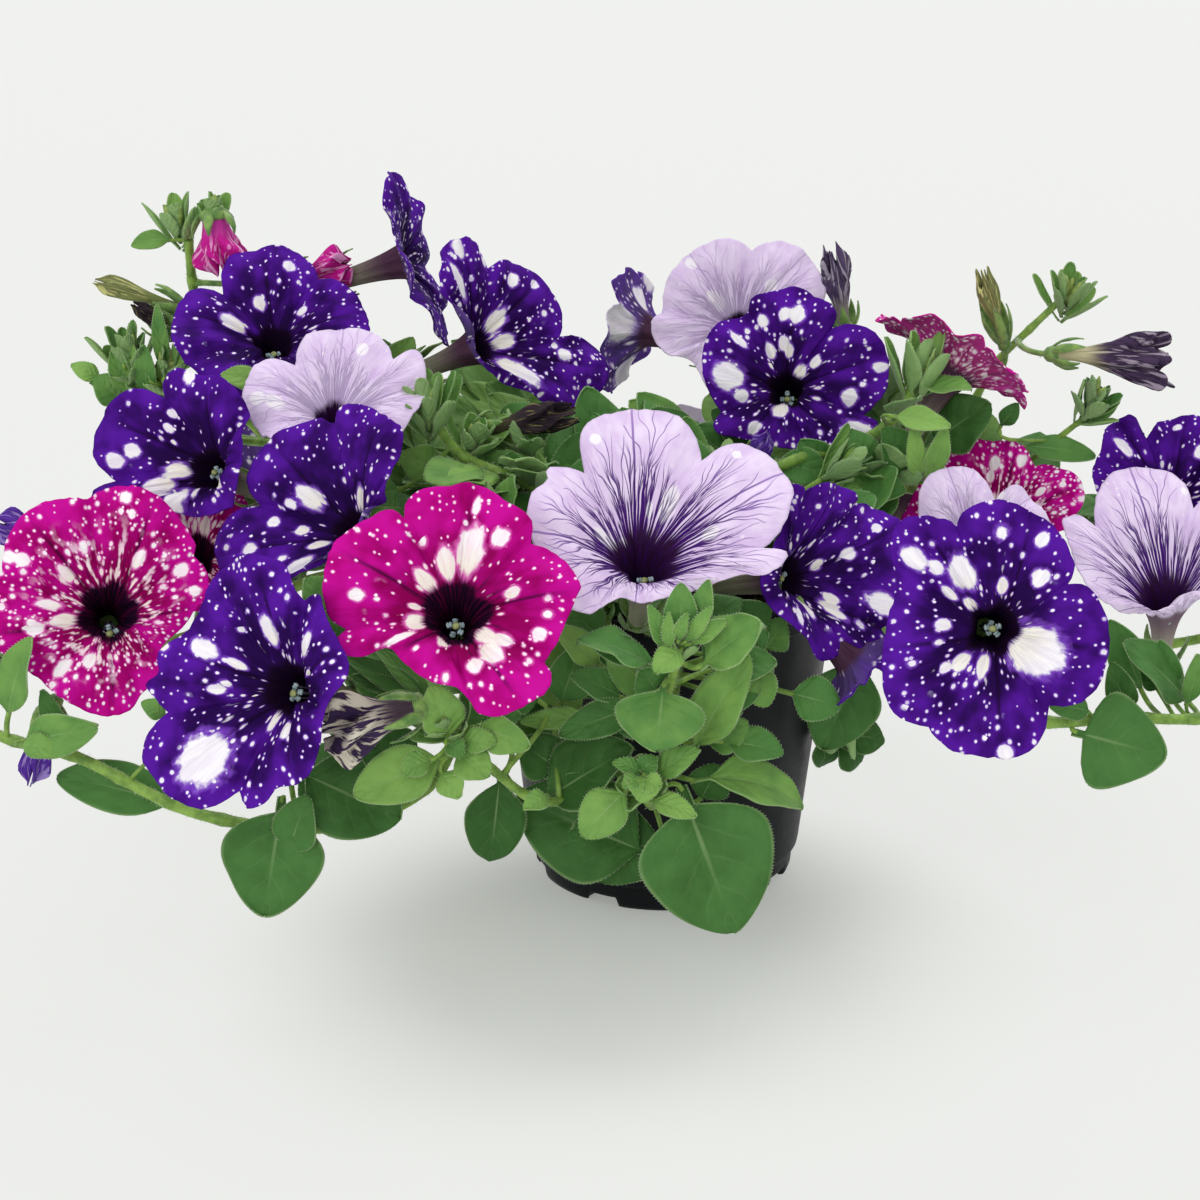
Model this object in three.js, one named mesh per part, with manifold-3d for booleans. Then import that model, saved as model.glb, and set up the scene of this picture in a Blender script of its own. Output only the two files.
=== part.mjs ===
// A petunia plant in a small round nursery pot. Millimetres, +Z up, the front of the plant towards -Y.
// The origin is the middle of the pot's foot, so the pot stands on z = 0.
import * as THREE from "three";
import { mergeVertices } from "three/addons/utils/BufferGeometryUtils.js";
import Module from "manifold-3d";

const wasm = await Module();
wasm.setup();

// ---- Pot and soil -------------------------------------------------------------------------------------------
const FOOT_RADIUS = 40; // the ring that the pot stands on
const SHOULDER_HEIGHT = 8.8; // where the wall steps out over the foot
const SHOULDER_RADIUS = 42;
const WALL = 1.4;
const WALL_TAPER = 0.113; // how much wider the wall gets for each millimetre of height
const RIM_BOTTOM = 88;
const POT_HEIGHT = 97;
const RIM_OUT = 3.2; // how far the rim stands out of the wall
const RIM_EDGE = 1.2; // the slope on the rim's upper edge
const RIM_LIP = 0.4; // how much thinner the wall is at the very top
const FOOT_EDGE = 0.8; // the slope on the foot's lower edge
const FLOOR = 1.6; // the thickness of the pot's floor
const FLOOR_LIFT = 4; // the raised ring between the foot and the middle pad
const PAD_RADIUS = 11;
const RING_RADIUS = 30; // the outer edge of the raised ring
const RING_SLOPE = 1.5; // how far the sides of the raised ring lean
const RING_SIDE = 1.1; // the thickness of those sides
const SLOT_COUNT = 8;
const SLOT_WIDTH = 11;
const SLOT_HEIGHT = 3.6;
const SLOT_RUN = 16; // how far a notch reaches across the foot
const SLOT_TURN = 0.35; // the place of the first notch, as a share of the step from one to the next
const CUT_MARGIN = 2; // how far a cut reaches past what it cuts
const POT_SIDES = 40;
const SOIL_TOP = 85;
const SOIL_SLOPE = 6; // the width of the ring over which the soil falls to the wall
const GAP = 0.3; // left between pieces that touch

// ---- Stems, stalks and leaves --------------------------------------------------------------------------------
const STEM_RADIUS = 2.1;
const SHOOT_RADIUS = 1.6;
const STEM_SIDES = 6;
const STEM_STEP = 13; // length of one straight stretch of a stem
const STALK_RADIUS = 1.1;
const STALK_SIDES = 5;
const STALK_STEPS = 4;
const STALK_GAP = 0.9; // between the end of a stalk and the stem that bears it
const STALK_REACH = 14; // how far behind the calyx the stalk looks for its stem
const STALK_LEAN = 10; // how far behind the calyx the point lies that the stalk leaves the stem towards
const STALK_INSIDE = 3; // how far the stalk runs into the flower's tube
const STALK_BEND = 0.35; // how long the stalk stays straight at each end, as a share of its length
const STEM_PLACES = 60; // the places along a stem where a stalk can join it
const BARE_PLACES = 6; // those next to the crown, where none does
const LEAF_THICKNESS = 1.3;
const LEAF_SEGMENTS = 8;
const LEAF_STALK_SHARE = 0.16; // the part of a leaf's length that is its stalk
const LEAF_STALK_RADIUS = 1;
const LEAF_FULLNESS = 0.8; // under 1, a blade is widest nearer its stalk than its tip

// ---- Flowers -------------------------------------------------------------------------------------------------
const TUBE_LENGTH = 30; // from the calyx to the throat
const TUBE_RADIUS = 2.6;
const TUBE_WIDENING = 0.9; // how much wider the tube is where it starts to flare
const TUBE_FLARE = 0.6; // where that is, as a share of its length behind the throat
const TUBE_BOTTOM = 0.65; // how far down the tube is hollow
const TUBE_WALL = 1.2;
const THROAT_RADIUS = 8;
const THROAT_DEPTH = 5;
const THROAT_STEP = 1; // how much narrower the tube is at that depth
const BOWL_RADIUS = 0.5; // the middle of a petal, as a share of the flower's radius
const BOWL_RISE = 0.3; // how far it has risen there, as a share of the rim's rise
const PETAL_THICKNESS = 1.3;
const LOBES = 5;
const SEGMENTS_PER_LOBE = 3;
const NOTCH = 0.12; // how far the rim draws in between two lobes, as a share of the radius
const CLOSED_SIDES = 8;

const MERGE_DISTANCE = 1e-4;
const TINY = 1e-6;
const UPWARDS = new THREE.Vector3(0, 0, 1);

const PURPLE = { colour: 0x3f1690, roughness: 0.6 };
const MAGENTA = { colour: 0xc01085, roughness: 0.6 };
const LAVENDER = { colour: 0xdcc5ec, roughness: 0.65 };
const WILTED = { colour: 0x2b1c33, roughness: 0.8 };
const STEM_GREEN = { colour: 0x9cb868, roughness: 0.8 };
const LEAF_GREEN = { colour: 0x4c8040, roughness: 0.75 };
const POT_BLACK = { colour: 0x1d2126, roughness: 0.5 };
const SOIL_BROWN = { colour: 0x3a2a1e, roughness: 1.0 };

// Each stem's centre line, from the crown in the middle of the soil (or from the stem it branches off) to its tip.
const STEMS = {
  stem_front: [[0, -12, 87], [3, -30, 104], [3, -58, 104], [0, -76, 82], [-5, -86, 56], [-9, -97, 67]],
  stem_front_shoot: [[0, -83, 84], [-2, -92, 90], [0, -98, 101], [1, -101, 110]],
  stem_front_left: [[-12, -87, 56], [-28, -92, 59], [-38, -96, 62], [-48, -101, 72], [-58, -107, 85]],
  stem_left_trailing: [
    [-8, -8, 87], [-26, -26, 105], [-43, -42, 105], [-56, -58, 82], [-67, -76, 58], [-94, -90, 51],
    [-129, -93, 56], [-163, -90, 72], [-183, -88, 77], [-200, -85, 87],
  ],
  stem_left: [
    [-12, -2, 87], [-30, -8, 107], [-70, -14, 106], [-110, -18, 96], [-140, -20, 82], [-168, -26, 76],
    [-192, -38, 84],
  ],
  stem_back_left: [
    [-11, 4, 87], [-28, 20, 106], [-58, 40, 108], [-92, 58, 106], [-124, 74, 112], [-144, 74, 135],
    [-149, 66, 165], [-149, 60, 184],
  ],
  stem_middle: [[-4, -1, 87], [-20, -3, 112], [-45, -1, 124], [-62, 0, 132], [-71, 0, 146]],
  stem_back: [[-4, 11, 87], [-14, 30, 110], [-34, 54, 118], [-54, 76, 120], [-76, 96, 112]],
  stem_back_right: [[7, 10, 87], [16, 30, 108], [24, 58, 112], [34, 88, 110], [46, 118, 102]],
  stem_right_top: [[4, 1, 87], [18, 12, 114], [40, 20, 124], [60, 26, 128], [74, 30, 138], [77, 30, 150]],
  stem_upper_right: [[106, 82, 97], [102, 84, 118], [108, 84, 142], [118, 80, 160], [126, 78, 170]],
  stem_right_rear: [
    [11, 6, 87], [28, 18, 108], [50, 34, 112], [80, 56, 104], [108, 76, 92], [138, 92, 80], [166, 98, 74],
  ],
  stem_right: [
    [12, 0, 87], [34, 4, 104], [60, 14, 101], [84, 32, 82], [104, 42, 66], [130, 38, 58], [156, 34, 58],
    [182, 28, 66], [200, 20, 80],
  ],
  stem_right_front: [
    [9, -8, 87], [22, -20, 106], [42, -38, 106], [62, -54, 94], [84, -62, 79], [105, -60, 70], [128, -55, 69],
    [155, -50, 67], [180, -44, 71], [198, -38, 82],
  ],
  stem_rear_left: [[-9, 8, 87], [-22, 34, 106], [-44, 62, 102], [-66, 92, 84], [-84, 118, 66], [-98, 138, 62]],
  stem_rear_right: [[2, 12, 87], [6, 36, 107], [12, 66, 103], [24, 98, 82], [34, 124, 62], [44, 142, 56]],
};
const SHOOTS = ["stem_front_shoot", "stem_front_left", "stem_upper_right"];

// Each open flower: the middle of its throat, the way it faces, its radius, how far its rim stands in front of
// the throat, and the stem that bears it.
const FLOWERS = [
  ["flower_magenta_left", MAGENTA, [-154, -75, 108], [0.19, -0.88, 0.44], 30, 6, "stem_left"],
  ["flower_magenta_centre", MAGENTA, [-57, -112, 121], [0.05, -0.8, 0.6], 32, 7, "stem_left_trailing"],
  ["flower_lavender_centre", LAVENDER, [-8, -80, 124], [0.04, -0.6, 0.8], 36, 14, "stem_front"],
  ["flower_purple_front_left", PURPLE, [-100, -122, 104], [-0.47, -0.79, 0.4], 34, 9, "stem_left_trailing"],
  ["flower_purple_right_centre", PURPLE, [33, -60, 113], [0.68, -0.66, 0.32], 28, 8, "stem_right_front"],
  ["flower_purple_front_right", PURPLE, [81, -116, 118], [-0.04, -0.95, 0.32], 33, 5, "stem_right_front"],
  ["flower_lavender_right", LAVENDER, [151, -5, 87], [-0.1, -0.46, 0.88], 31, 12, "stem_right"],
  ["flower_purple_right_edge", PURPLE, [162, 50, 102], [0, -0.71, 0.7], 27, 8, "stem_right_rear"],
  ["flower_magenta_right_back", MAGENTA, [108, 47, 96], [-0.1, -0.71, 0.69], 28, 8, "stem_right_rear"],
  ["flower_lavender_right_back", LAVENDER, [93, -6, 104], [-0.2, -0.69, 0.69], 24, 8, "stem_right"],
  ["flower_purple_top_right", PURPLE, [39, 48, 139], [-0.17, -0.89, 0.43], 29, 5, "stem_back_right"],
  ["flower_lavender_top", LAVENDER, [26, 92, 148], [-0.05, -0.86, 0.5], 29, 7, "stem_back_right"],
  ["flower_purple_top_turned", PURPLE, [-8, 118, 146], [-0.85, 0.4, 0.3], 21, 9, "stem_back_right"],
  ["flower_purple_top", PURPLE, [-57, 35, 156], [0.75, -0.5, 0.43], 28, 8, "stem_back"],
  ["flower_purple_edge_on", PURPLE, [-82, 62, 177], [0.95, -0.03, 0.3], 28, 5, "stem_back_left"],
  ["flower_purple_back_left", PURPLE, [-120, 32, 158], [0.11, -0.63, 0.77], 31, 8, "stem_back_left"],
  ["flower_lavender_back_left", LAVENDER, [-98, -4, 144], [0.08, -0.57, 0.82], 28, 8, "stem_back_left"],
  ["flower_purple_left", PURPLE, [-133, -25, 134], [-0.45, -0.75, 0.48], 31, 7, "stem_left"],
  ["flower_purple_centre_left", PURPLE, [-89, -55, 125], [-0.6, -0.6, 0.53], 31, 10, "stem_left"],
  ["flower_magenta_behind_left", MAGENTA, [-139, -18, 106], [0.1, -0.75, 0.65], 20, 5, "stem_left"],
  ["flower_magenta_turned_away", MAGENTA, [90, 52, 143], [0.5, 0.3, 0.8], 27, 7, "stem_right_top"],
  ["flower_magenta_rear", MAGENTA, [-52, 118, 86], [-0.25, 0.88, 0.4], 31, 7, "stem_rear_left"],
  ["flower_purple_rear_left", PURPLE, [-134, 98, 88], [-0.6, 0.7, 0.4], 32, 7, "stem_rear_left"],
  ["flower_lavender_rear", LAVENDER, [12, 128, 92], [0, 0.9, 0.42], 32, 8, "stem_rear_right"],
  ["flower_purple_rear_right", PURPLE, [86, 118, 80], [0.35, 0.85, 0.4], 31, 7, "stem_right_rear"],
];

// Each closed or wilted flower: the end of its calyx, the tip of its furled petals, and the stem that bears it.
const CLOSED_FLOWERS = [
  ["flower_closed_right", WILTED, [124, 62, 147], [160, 52, 150], "stem_upper_right"],
  ["flower_closed_up", WILTED, [61, 90, 150], [56, 90, 175], "stem_back_right"],
  ["flower_wilted_front", WILTED, [-66, -112, 94], [-88, -116, 84], "stem_front_left"],
];
const CLOSED_PROFILE = [[0.02, 1.4], [0.3, 1.9], [0.6, 4.2], [0.82, 5.6], [0.95, 3.4]]; // share of length, radius

// Each big leaf: where its stalk starts, its tip, the way its upper face looks, its width, how far it arches.
const LEAVES = [
  ["leaf_front_big", [2, -92, 60], [17, -101, 24], [0.1, -0.9, 0.35], 38, 2],
  ["leaf_front_dark_left", [-12, -80, 52], [-42, -74, 42], [-0.1, -0.75, 0.65], 26, 4],
  ["leaf_front_right", [5, -88, 64], [36, -84, 54], [0.1, -0.4, 0.9], 17, 6],
  ["leaf_front_round", [-3, -98, 96], [-5, -108, 81], [0, -0.75, 0.65], 24, 3],
  ["leaf_middle_left", [-8, -80, 74], [-38, -78, 62], [-0.2, -0.5, 0.8], 20, 5],
  ["leaf_heart_left", [-103, -95, 59], [-111, -98, 27], [0.05, -0.95, 0.3], 32, 2],
  ["leaf_heart_right", [128, -60, 72], [124, -66, 48], [-0.1, -0.9, 0.4], 27, 2],
  ["leaf_right_behind", [58, -28, 80], [46, -32, 50], [0.1, -0.85, 0.4], 22, 2],
  ["leaf_shoot_left", [-4, -103, 102], [-25, -106, 112], [0.3, -0.3, 0.9], 13, 2],
  ["leaf_shoot_right", [6, -102, 102], [22, -106, 116], [-0.4, -0.6, 0.65], 16, 2],
  ["leaf_left_back", [-78, -78, 50], [-101, -70, 66], [0.3, -0.7, 0.6], 20, 3],
  ["leaf_rear_left", [-68, 98, 80], [-62, 112, 46], [0, 0.9, 0.4], 30, 3],
  ["leaf_rear_right", [30, 110, 68], [22, 122, 34], [-0.1, 0.9, 0.35], 32, 3],
  ["leaf_rear_middle", [10, 60, 98], [-14, 84, 76], [-0.3, 0.6, 0.7], 24, 5],
];

const vector = (point) => new THREE.Vector3(...point);

/** Merges shared corners and turns the faces outwards, so the geometry is one closed body. */
function closed(geometry) {
  geometry.deleteAttribute("normal");
  geometry.deleteAttribute("uv");
  const merged = mergeVertices(geometry, MERGE_DISTANCE);
  const kept = [];
  const index = merged.index.array;
  for (let i = 0; i < index.length; i += 3) {
    const [a, b, c] = [index[i], index[i + 1], index[i + 2]];
    if (a !== b && b !== c && c !== a) kept.push(a, b, c);
  }
  if (volume(merged.attributes.position, kept) < 0) kept.reverse();
  merged.setIndex(kept);
  return merged;
}

/** The signed volume inside a closed set of triangles. */
function volume(position, index) {
  const [a, b, c] = [new THREE.Vector3(), new THREE.Vector3(), new THREE.Vector3()];
  let total = 0;
  for (let i = 0; i < index.length; i += 3) {
    a.fromBufferAttribute(position, index[i]);
    b.fromBufferAttribute(position, index[i + 1]);
    c.fromBufferAttribute(position, index[i + 2]);
    total += a.dot(b.cross(c)) / 6;
  }
  return total;
}

function toSolid(geometry) {
  const vertProperties = new Float32Array(geometry.attributes.position.array);
  const triVerts = new Uint32Array(geometry.index.array);
  return new wasm.Manifold(new wasm.Mesh({ numProp: 3, vertProperties, triVerts }));
}

function toGeometry(solid) {
  const mesh = solid.getMesh();
  const geometry = new THREE.BufferGeometry();
  geometry.setAttribute("position", new THREE.BufferAttribute(mesh.vertProperties, 3));
  geometry.setIndex(new THREE.BufferAttribute(mesh.triVerts, 1));
  return geometry;
}

function named(name, geometry, look) {
  const material = new THREE.MeshStandardMaterial({ color: look.colour, roughness: look.roughness, metalness: 0 });
  const mesh = new THREE.Mesh(geometry, material);
  mesh.name = name;
  return mesh;
}

/** Turns a profile of [radius, height] points round the Z axis. */
function turned(profile, sides) {
  const points = profile.map(([radius, height]) => new THREE.Vector2(radius, height));
  return closed(new THREE.LatheGeometry(points, sides).rotateX(Math.PI / 2));
}

/** A round rod of the given radius along a curve. */
function rod(curve, radius, sides, steps) {
  const circle = new THREE.Shape();
  for (let i = 0; i < sides; i++) {
    const angle = (2 * Math.PI * i) / sides;
    const corner = [radius * Math.cos(angle), radius * Math.sin(angle)];
    if (i === 0) circle.moveTo(...corner);
    else circle.lineTo(...corner);
  }
  return closed(new THREE.ExtrudeGeometry(circle, { extrudePath: curve, steps, bevelEnabled: false }));
}

const wallRadius = (height) => SHOULDER_RADIUS + (height - SHOULDER_HEIGHT) * WALL_TAPER;

function makePot() {
  const rimTop = wallRadius(POT_HEIGHT) + RIM_OUT;
  const outside = [
    [0, 0], [PAD_RADIUS, 0], [PAD_RADIUS + RING_SLOPE, FLOOR_LIFT], [RING_RADIUS, FLOOR_LIFT],
    [RING_RADIUS + RING_SLOPE, 0], [FOOT_RADIUS - FOOT_EDGE, 0], [FOOT_RADIUS, FOOT_EDGE],
    [FOOT_RADIUS + FOOT_EDGE / 2, SHOULDER_HEIGHT - FOOT_EDGE], [SHOULDER_RADIUS, SHOULDER_HEIGHT],
    [wallRadius(RIM_BOTTOM), RIM_BOTTOM], [wallRadius(RIM_BOTTOM) + RIM_OUT, RIM_BOTTOM + RIM_EDGE / 2],
    [rimTop, POT_HEIGHT - RIM_EDGE], [rimTop - RIM_EDGE, POT_HEIGHT],
  ];
  const inside = [
    [wallRadius(POT_HEIGHT) - RIM_LIP, POT_HEIGHT], [wallRadius(RIM_BOTTOM) - WALL, RIM_BOTTOM],
    [wallRadius(SHOULDER_HEIGHT) - WALL, SHOULDER_HEIGHT + WALL],
    [FOOT_RADIUS + FOOT_EDGE / 2 - WALL, SHOULDER_HEIGHT - FOOT_EDGE / 2],
    [FOOT_RADIUS - FOOT_EDGE / 2 - WALL, FLOOR], [RING_RADIUS + RING_SLOPE + RING_SIDE, FLOOR],
    [RING_RADIUS + RING_SIDE, FLOOR_LIFT + FLOOR], [PAD_RADIUS + RING_SLOPE - RING_SIDE, FLOOR_LIFT + FLOOR],
    [PAD_RADIUS - RING_SIDE, FLOOR], [0, FLOOR],
  ];
  let pot = toSolid(turned([...outside, ...inside], POT_SIDES));
  for (let i = 0; i < SLOT_COUNT; i++) {
    const slot = new THREE.BoxGeometry(SLOT_RUN, SLOT_WIDTH, SLOT_HEIGHT + CUT_MARGIN);
    slot.translate(FOOT_RADIUS - CUT_MARGIN, 0, (SLOT_HEIGHT - CUT_MARGIN) / 2);
    slot.rotateZ((2 * Math.PI * (i + SLOT_TURN)) / SLOT_COUNT);
    pot = pot.subtract(toSolid(closed(slot)));
  }
  return named("pot", toGeometry(pot), POT_BLACK);
}

function makeSoil() {
  const edge = SOIL_TOP - RIM_EDGE;
  const profile = [
    [0, FLOOR + GAP], [PAD_RADIUS - RING_SIDE - GAP, FLOOR + GAP],
    [PAD_RADIUS + RING_SLOPE - RING_SIDE - GAP, FLOOR_LIFT + FLOOR + GAP],
    [FOOT_RADIUS - FOOT_EDGE - WALL, FLOOR_LIFT + FLOOR + GAP], [FOOT_RADIUS - WALL - GAP, SHOULDER_HEIGHT],
    [wallRadius(SHOULDER_HEIGHT) - WALL - GAP, SHOULDER_HEIGHT + WALL + FOOT_EDGE],
    [wallRadius(edge) - WALL - GAP, edge], [wallRadius(SOIL_TOP) - SOIL_SLOPE, SOIL_TOP], [0, SOIL_TOP],
  ];
  return named("soil", turned(profile, POT_SIDES), SOIL_BROWN);
}

const stemCurve = (name) => new THREE.CatmullRomCurve3(STEMS[name].map(vector), false, "centripetal");
const stemRadius = (name) => (SHOOTS.includes(name) ? SHOOT_RADIUS : STEM_RADIUS);

function makeStem(name) {
  const curve = stemCurve(name);
  const steps = Math.round(curve.getLength() / STEM_STEP);
  return named(name, rod(curve, stemRadius(name), STEM_SIDES, steps), STEM_GREEN);
}

/** A flower's stalk: from the back of its calyx, round to the nearest stretch of the stem that bears it. */
function stalk(calyx, axis, stemName) {
  const reach = calyx.clone().addScaledVector(axis, -STALK_REACH);
  const onStem = stemCurve(stemName).getSpacedPoints(STEM_PLACES).slice(BARE_PLACES);
  onStem.sort((a, b) => a.distanceTo(reach) - b.distanceTo(reach));
  const outwards = calyx.clone().addScaledVector(axis, -STALK_LEAN).sub(onStem[0]).normalize();
  const foot = onStem[0].clone().addScaledVector(outwards, stemRadius(stemName) + STALK_GAP);
  const straight = STALK_BEND * calyx.distanceTo(foot);
  const start = calyx.clone().addScaledVector(axis, STALK_INSIDE);
  const bend = calyx.clone().addScaledVector(axis, -straight);
  const lead = foot.clone().addScaledVector(outwards, straight);
  return rod(new THREE.CubicBezierCurve3(start, bend, lead, foot), STALK_RADIUS, STALK_SIDES, STALK_STEPS);
}

/** Joins a flower, made upright at the origin, to its stalk, and sets it in its place. */
function planted(name, look, body, origin, axis, calyx, stemName) {
  const turn = new THREE.Quaternion().setFromUnitVectors(UPWARDS, axis);
  const place = new THREE.Matrix4().makeRotationFromQuaternion(turn).setPosition(origin);
  const ownStalk = stalk(calyx, axis, stemName).applyMatrix4(place.clone().invert());
  const mesh = named(name, toGeometry(toSolid(body).add(toSolid(ownStalk))), look);
  mesh.applyMatrix4(place);
  return mesh;
}

/** Draws the rim of a funnel in between its lobes. */
function lobed(geometry, radius) {
  const position = geometry.attributes.position;
  for (let i = 0; i < position.count; i++) {
    const [x, y] = [position.getX(i), position.getY(i)];
    const share = Math.max(0, (Math.hypot(x, y) - THROAT_RADIUS) / (radius - THROAT_RADIUS));
    const valley = Math.max(0, Math.cos(LOBES * Math.atan2(y, x)));
    const factor = 1 - NOTCH * valley * share;
    position.setXY(i, x * factor, y * factor);
  }
  return geometry;
}

function makeFlower([name, look, throat, facing, radius, rise, stemName]) {
  const outside = [
    [0, -TUBE_LENGTH], [TUBE_RADIUS, -TUBE_LENGTH], [TUBE_RADIUS + TUBE_WIDENING, -TUBE_FLARE * TUBE_LENGTH],
    [THROAT_RADIUS - THROAT_STEP, -THROAT_DEPTH], [BOWL_RADIUS * radius, BOWL_RISE * rise], [radius, rise],
  ];
  const inside = [
    [radius, rise + PETAL_THICKNESS], [BOWL_RADIUS * radius, BOWL_RISE * rise + PETAL_THICKNESS],
    [THROAT_RADIUS - THROAT_STEP - TUBE_WALL, -THROAT_DEPTH],
    [TUBE_RADIUS - TUBE_WALL / 2, -TUBE_FLARE * TUBE_LENGTH], [0, -TUBE_BOTTOM * TUBE_LENGTH],
  ];
  const axis = vector(facing).normalize();
  const funnel = lobed(turned([...outside, ...inside], LOBES * SEGMENTS_PER_LOBE), radius);
  const calyx = vector(throat).addScaledVector(axis, -TUBE_LENGTH);
  return planted(name, look, funnel, vector(throat), axis, calyx, stemName);
}

function makeClosedFlower([name, look, calyxPoint, tipPoint, stemName]) {
  const [calyx, tip] = [vector(calyxPoint), vector(tipPoint)];
  const length = calyx.distanceTo(tip);
  const profile = [[0, 0], ...CLOSED_PROFILE.map(([share, radius]) => [radius, share * length]), [0, length]];
  const axis = tip.sub(calyx).normalize();
  return planted(name, look, turned(profile, CLOSED_SIDES), calyx, axis, calyx, stemName);
}

/** Half the width of a leaf at a share of its length: a narrow stalk, then an egg-shaped blade. */
function leafHalfWidth(share, width) {
  if (share <= LEAF_STALK_SHARE) return LEAF_STALK_RADIUS;
  const along = (share - LEAF_STALK_SHARE) / (1 - LEAF_STALK_SHARE);
  return Math.max(LEAF_STALK_RADIUS, (width / 2) * Math.sin(Math.PI * Math.pow(along, LEAF_FULLNESS)));
}

function makeLeaf([name, basePoint, tipPoint, face, width, arch]) {
  const base = vector(basePoint);
  const tip = vector(tipPoint).sub(base);
  const along = tip.clone().normalize();
  const across = along.clone().cross(vector(face)).normalize();
  const upper = across.clone().cross(along).normalize();
  const middle = tip.clone().multiplyScalar(0.5).addScaledVector(upper, 2 * arch);
  const spine = new THREE.QuadraticBezierCurve3(new THREE.Vector3(), middle, tip);
  const leaf = new THREE.SphereGeometry(1, LEAF_SEGMENTS, LEAF_SEGMENTS);
  const position = leaf.attributes.position;
  for (let i = 0; i < position.count; i++) {
    const height = THREE.MathUtils.clamp(position.getY(i), -1, 1);
    const share = Math.acos(height) / Math.PI;
    const ring = Math.sqrt(1 - height * height);
    const isPole = share < TINY || share > 1 - TINY;
    const side = isPole ? 0 : (position.getX(i) / ring) * leafHalfWidth(share, width);
    const lift = isPole ? 0 : (position.getZ(i) / ring) * (LEAF_THICKNESS / 2);
    const point = spine.getPoint(share).addScaledVector(across, side).addScaledVector(upper, lift);
    position.setXYZ(i, point.x, point.y, point.z);
  }
  const mesh = named(name, closed(leaf), LEAF_GREEN);
  mesh.position.copy(base);
  return mesh;
}

const petunia = new THREE.Group();
petunia.add(makePot(), makeSoil());
for (const name of Object.keys(STEMS)) petunia.add(makeStem(name));
for (const flower of FLOWERS) petunia.add(makeFlower(flower));
for (const flower of CLOSED_FLOWERS) petunia.add(makeClosedFlower(flower));
for (const leaf of LEAVES) petunia.add(makeLeaf(leaf));

export default petunia;
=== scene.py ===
"""A petunia plant in a small round nursery pot: the looks of its flowers, leaves, stems, soil and pot.

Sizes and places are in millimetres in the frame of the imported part, with +Z up and the front of the plant
towards -Y. A finished mesh is scaled to metres as it becomes an object. Places that were read off the
photograph are pixels of its 1200 x 1200 frame, and PhotoCamera turns them into millimetres.
"""
import logging
import math
import random
from collections.abc import Callable
from dataclasses import dataclass
from enum import Enum

import bmesh
import bpy
import numpy as np
from mathutils import Matrix, Quaternion, Vector, noise


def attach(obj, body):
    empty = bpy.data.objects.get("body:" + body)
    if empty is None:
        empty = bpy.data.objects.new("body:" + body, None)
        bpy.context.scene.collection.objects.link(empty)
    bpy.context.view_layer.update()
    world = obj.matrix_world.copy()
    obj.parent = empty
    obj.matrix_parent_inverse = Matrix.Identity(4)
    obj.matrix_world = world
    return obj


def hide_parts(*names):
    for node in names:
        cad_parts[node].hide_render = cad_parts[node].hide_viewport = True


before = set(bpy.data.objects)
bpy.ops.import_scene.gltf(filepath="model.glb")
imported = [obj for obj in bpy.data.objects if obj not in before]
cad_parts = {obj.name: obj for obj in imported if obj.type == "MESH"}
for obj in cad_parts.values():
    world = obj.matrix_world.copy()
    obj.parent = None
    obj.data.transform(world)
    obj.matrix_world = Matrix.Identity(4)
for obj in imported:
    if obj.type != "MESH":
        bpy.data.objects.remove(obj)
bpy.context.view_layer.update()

LOG = logging.getLogger("petunia")
MM = 0.001
UP = Vector((0, 0, 1))
Point = tuple[float, float, float]
Pixel = tuple[float, float]
Colour = tuple[float, float, float]


# ---- The photograph's camera ---------------------------------------------------------------------


@dataclass(frozen=True)
class PhotoCamera:
    """The camera that took the photograph, fitted to the foot of the pot."""

    place: Point = (-19.9, -717.7, 335.4)
    pitch_down: float = 19.2
    lens: float = 75.0
    sensor: float = 36.0
    image: float = 1200.0
    sight: float = 50.0

    def axes(self) -> tuple[Vector, Vector, Vector]:
        """Gives the directions to the right, up and forwards, seen through the camera."""
        pitch = math.radians(self.pitch_down)
        forward = Vector((0, math.cos(pitch), -math.sin(pitch)))
        return Vector((1, 0, 0)), Vector((0, math.sin(pitch), math.cos(pitch))), forward

    def ray(self, pixel: Pixel) -> Vector:
        """Gives the direction from the camera through a pixel, one unit forwards."""
        right, up, forward = self.axes()
        focal = self.lens / self.sensor * self.image
        half = self.image / 2
        return forward + right * ((pixel[0] - half) / focal) - up * ((pixel[1] - half) / focal)

    def at_depth(self, pixel: Pixel, depth: float) -> Vector:
        """Finds the point that a pixel shows at a depth.

        Args:
            pixel: The place in the photograph.
            depth: The point's Y in the frame of the part.

        Returns:
            The point in millimetres.
        """
        ray = self.ray(pixel)
        start = Vector(self.place)
        return start + ray * ((depth - start.y) / ray.y)

    def build(self) -> None:
        """Makes the camera of the scene."""
        data = bpy.data.cameras.new("photo_camera")
        data.lens = self.lens
        data.sensor_width = self.sensor
        data.clip_end = self.sight
        camera = bpy.data.objects.new("photo_camera", data)
        camera.location = Vector(self.place) * MM
        camera.rotation_euler = (math.radians(90 - self.pitch_down), 0, 0)
        bpy.context.scene.collection.objects.link(camera)
        bpy.context.scene.camera = camera


CAMERA = PhotoCamera()


# ---- Shader building -----------------------------------------------------------------------------


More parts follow.
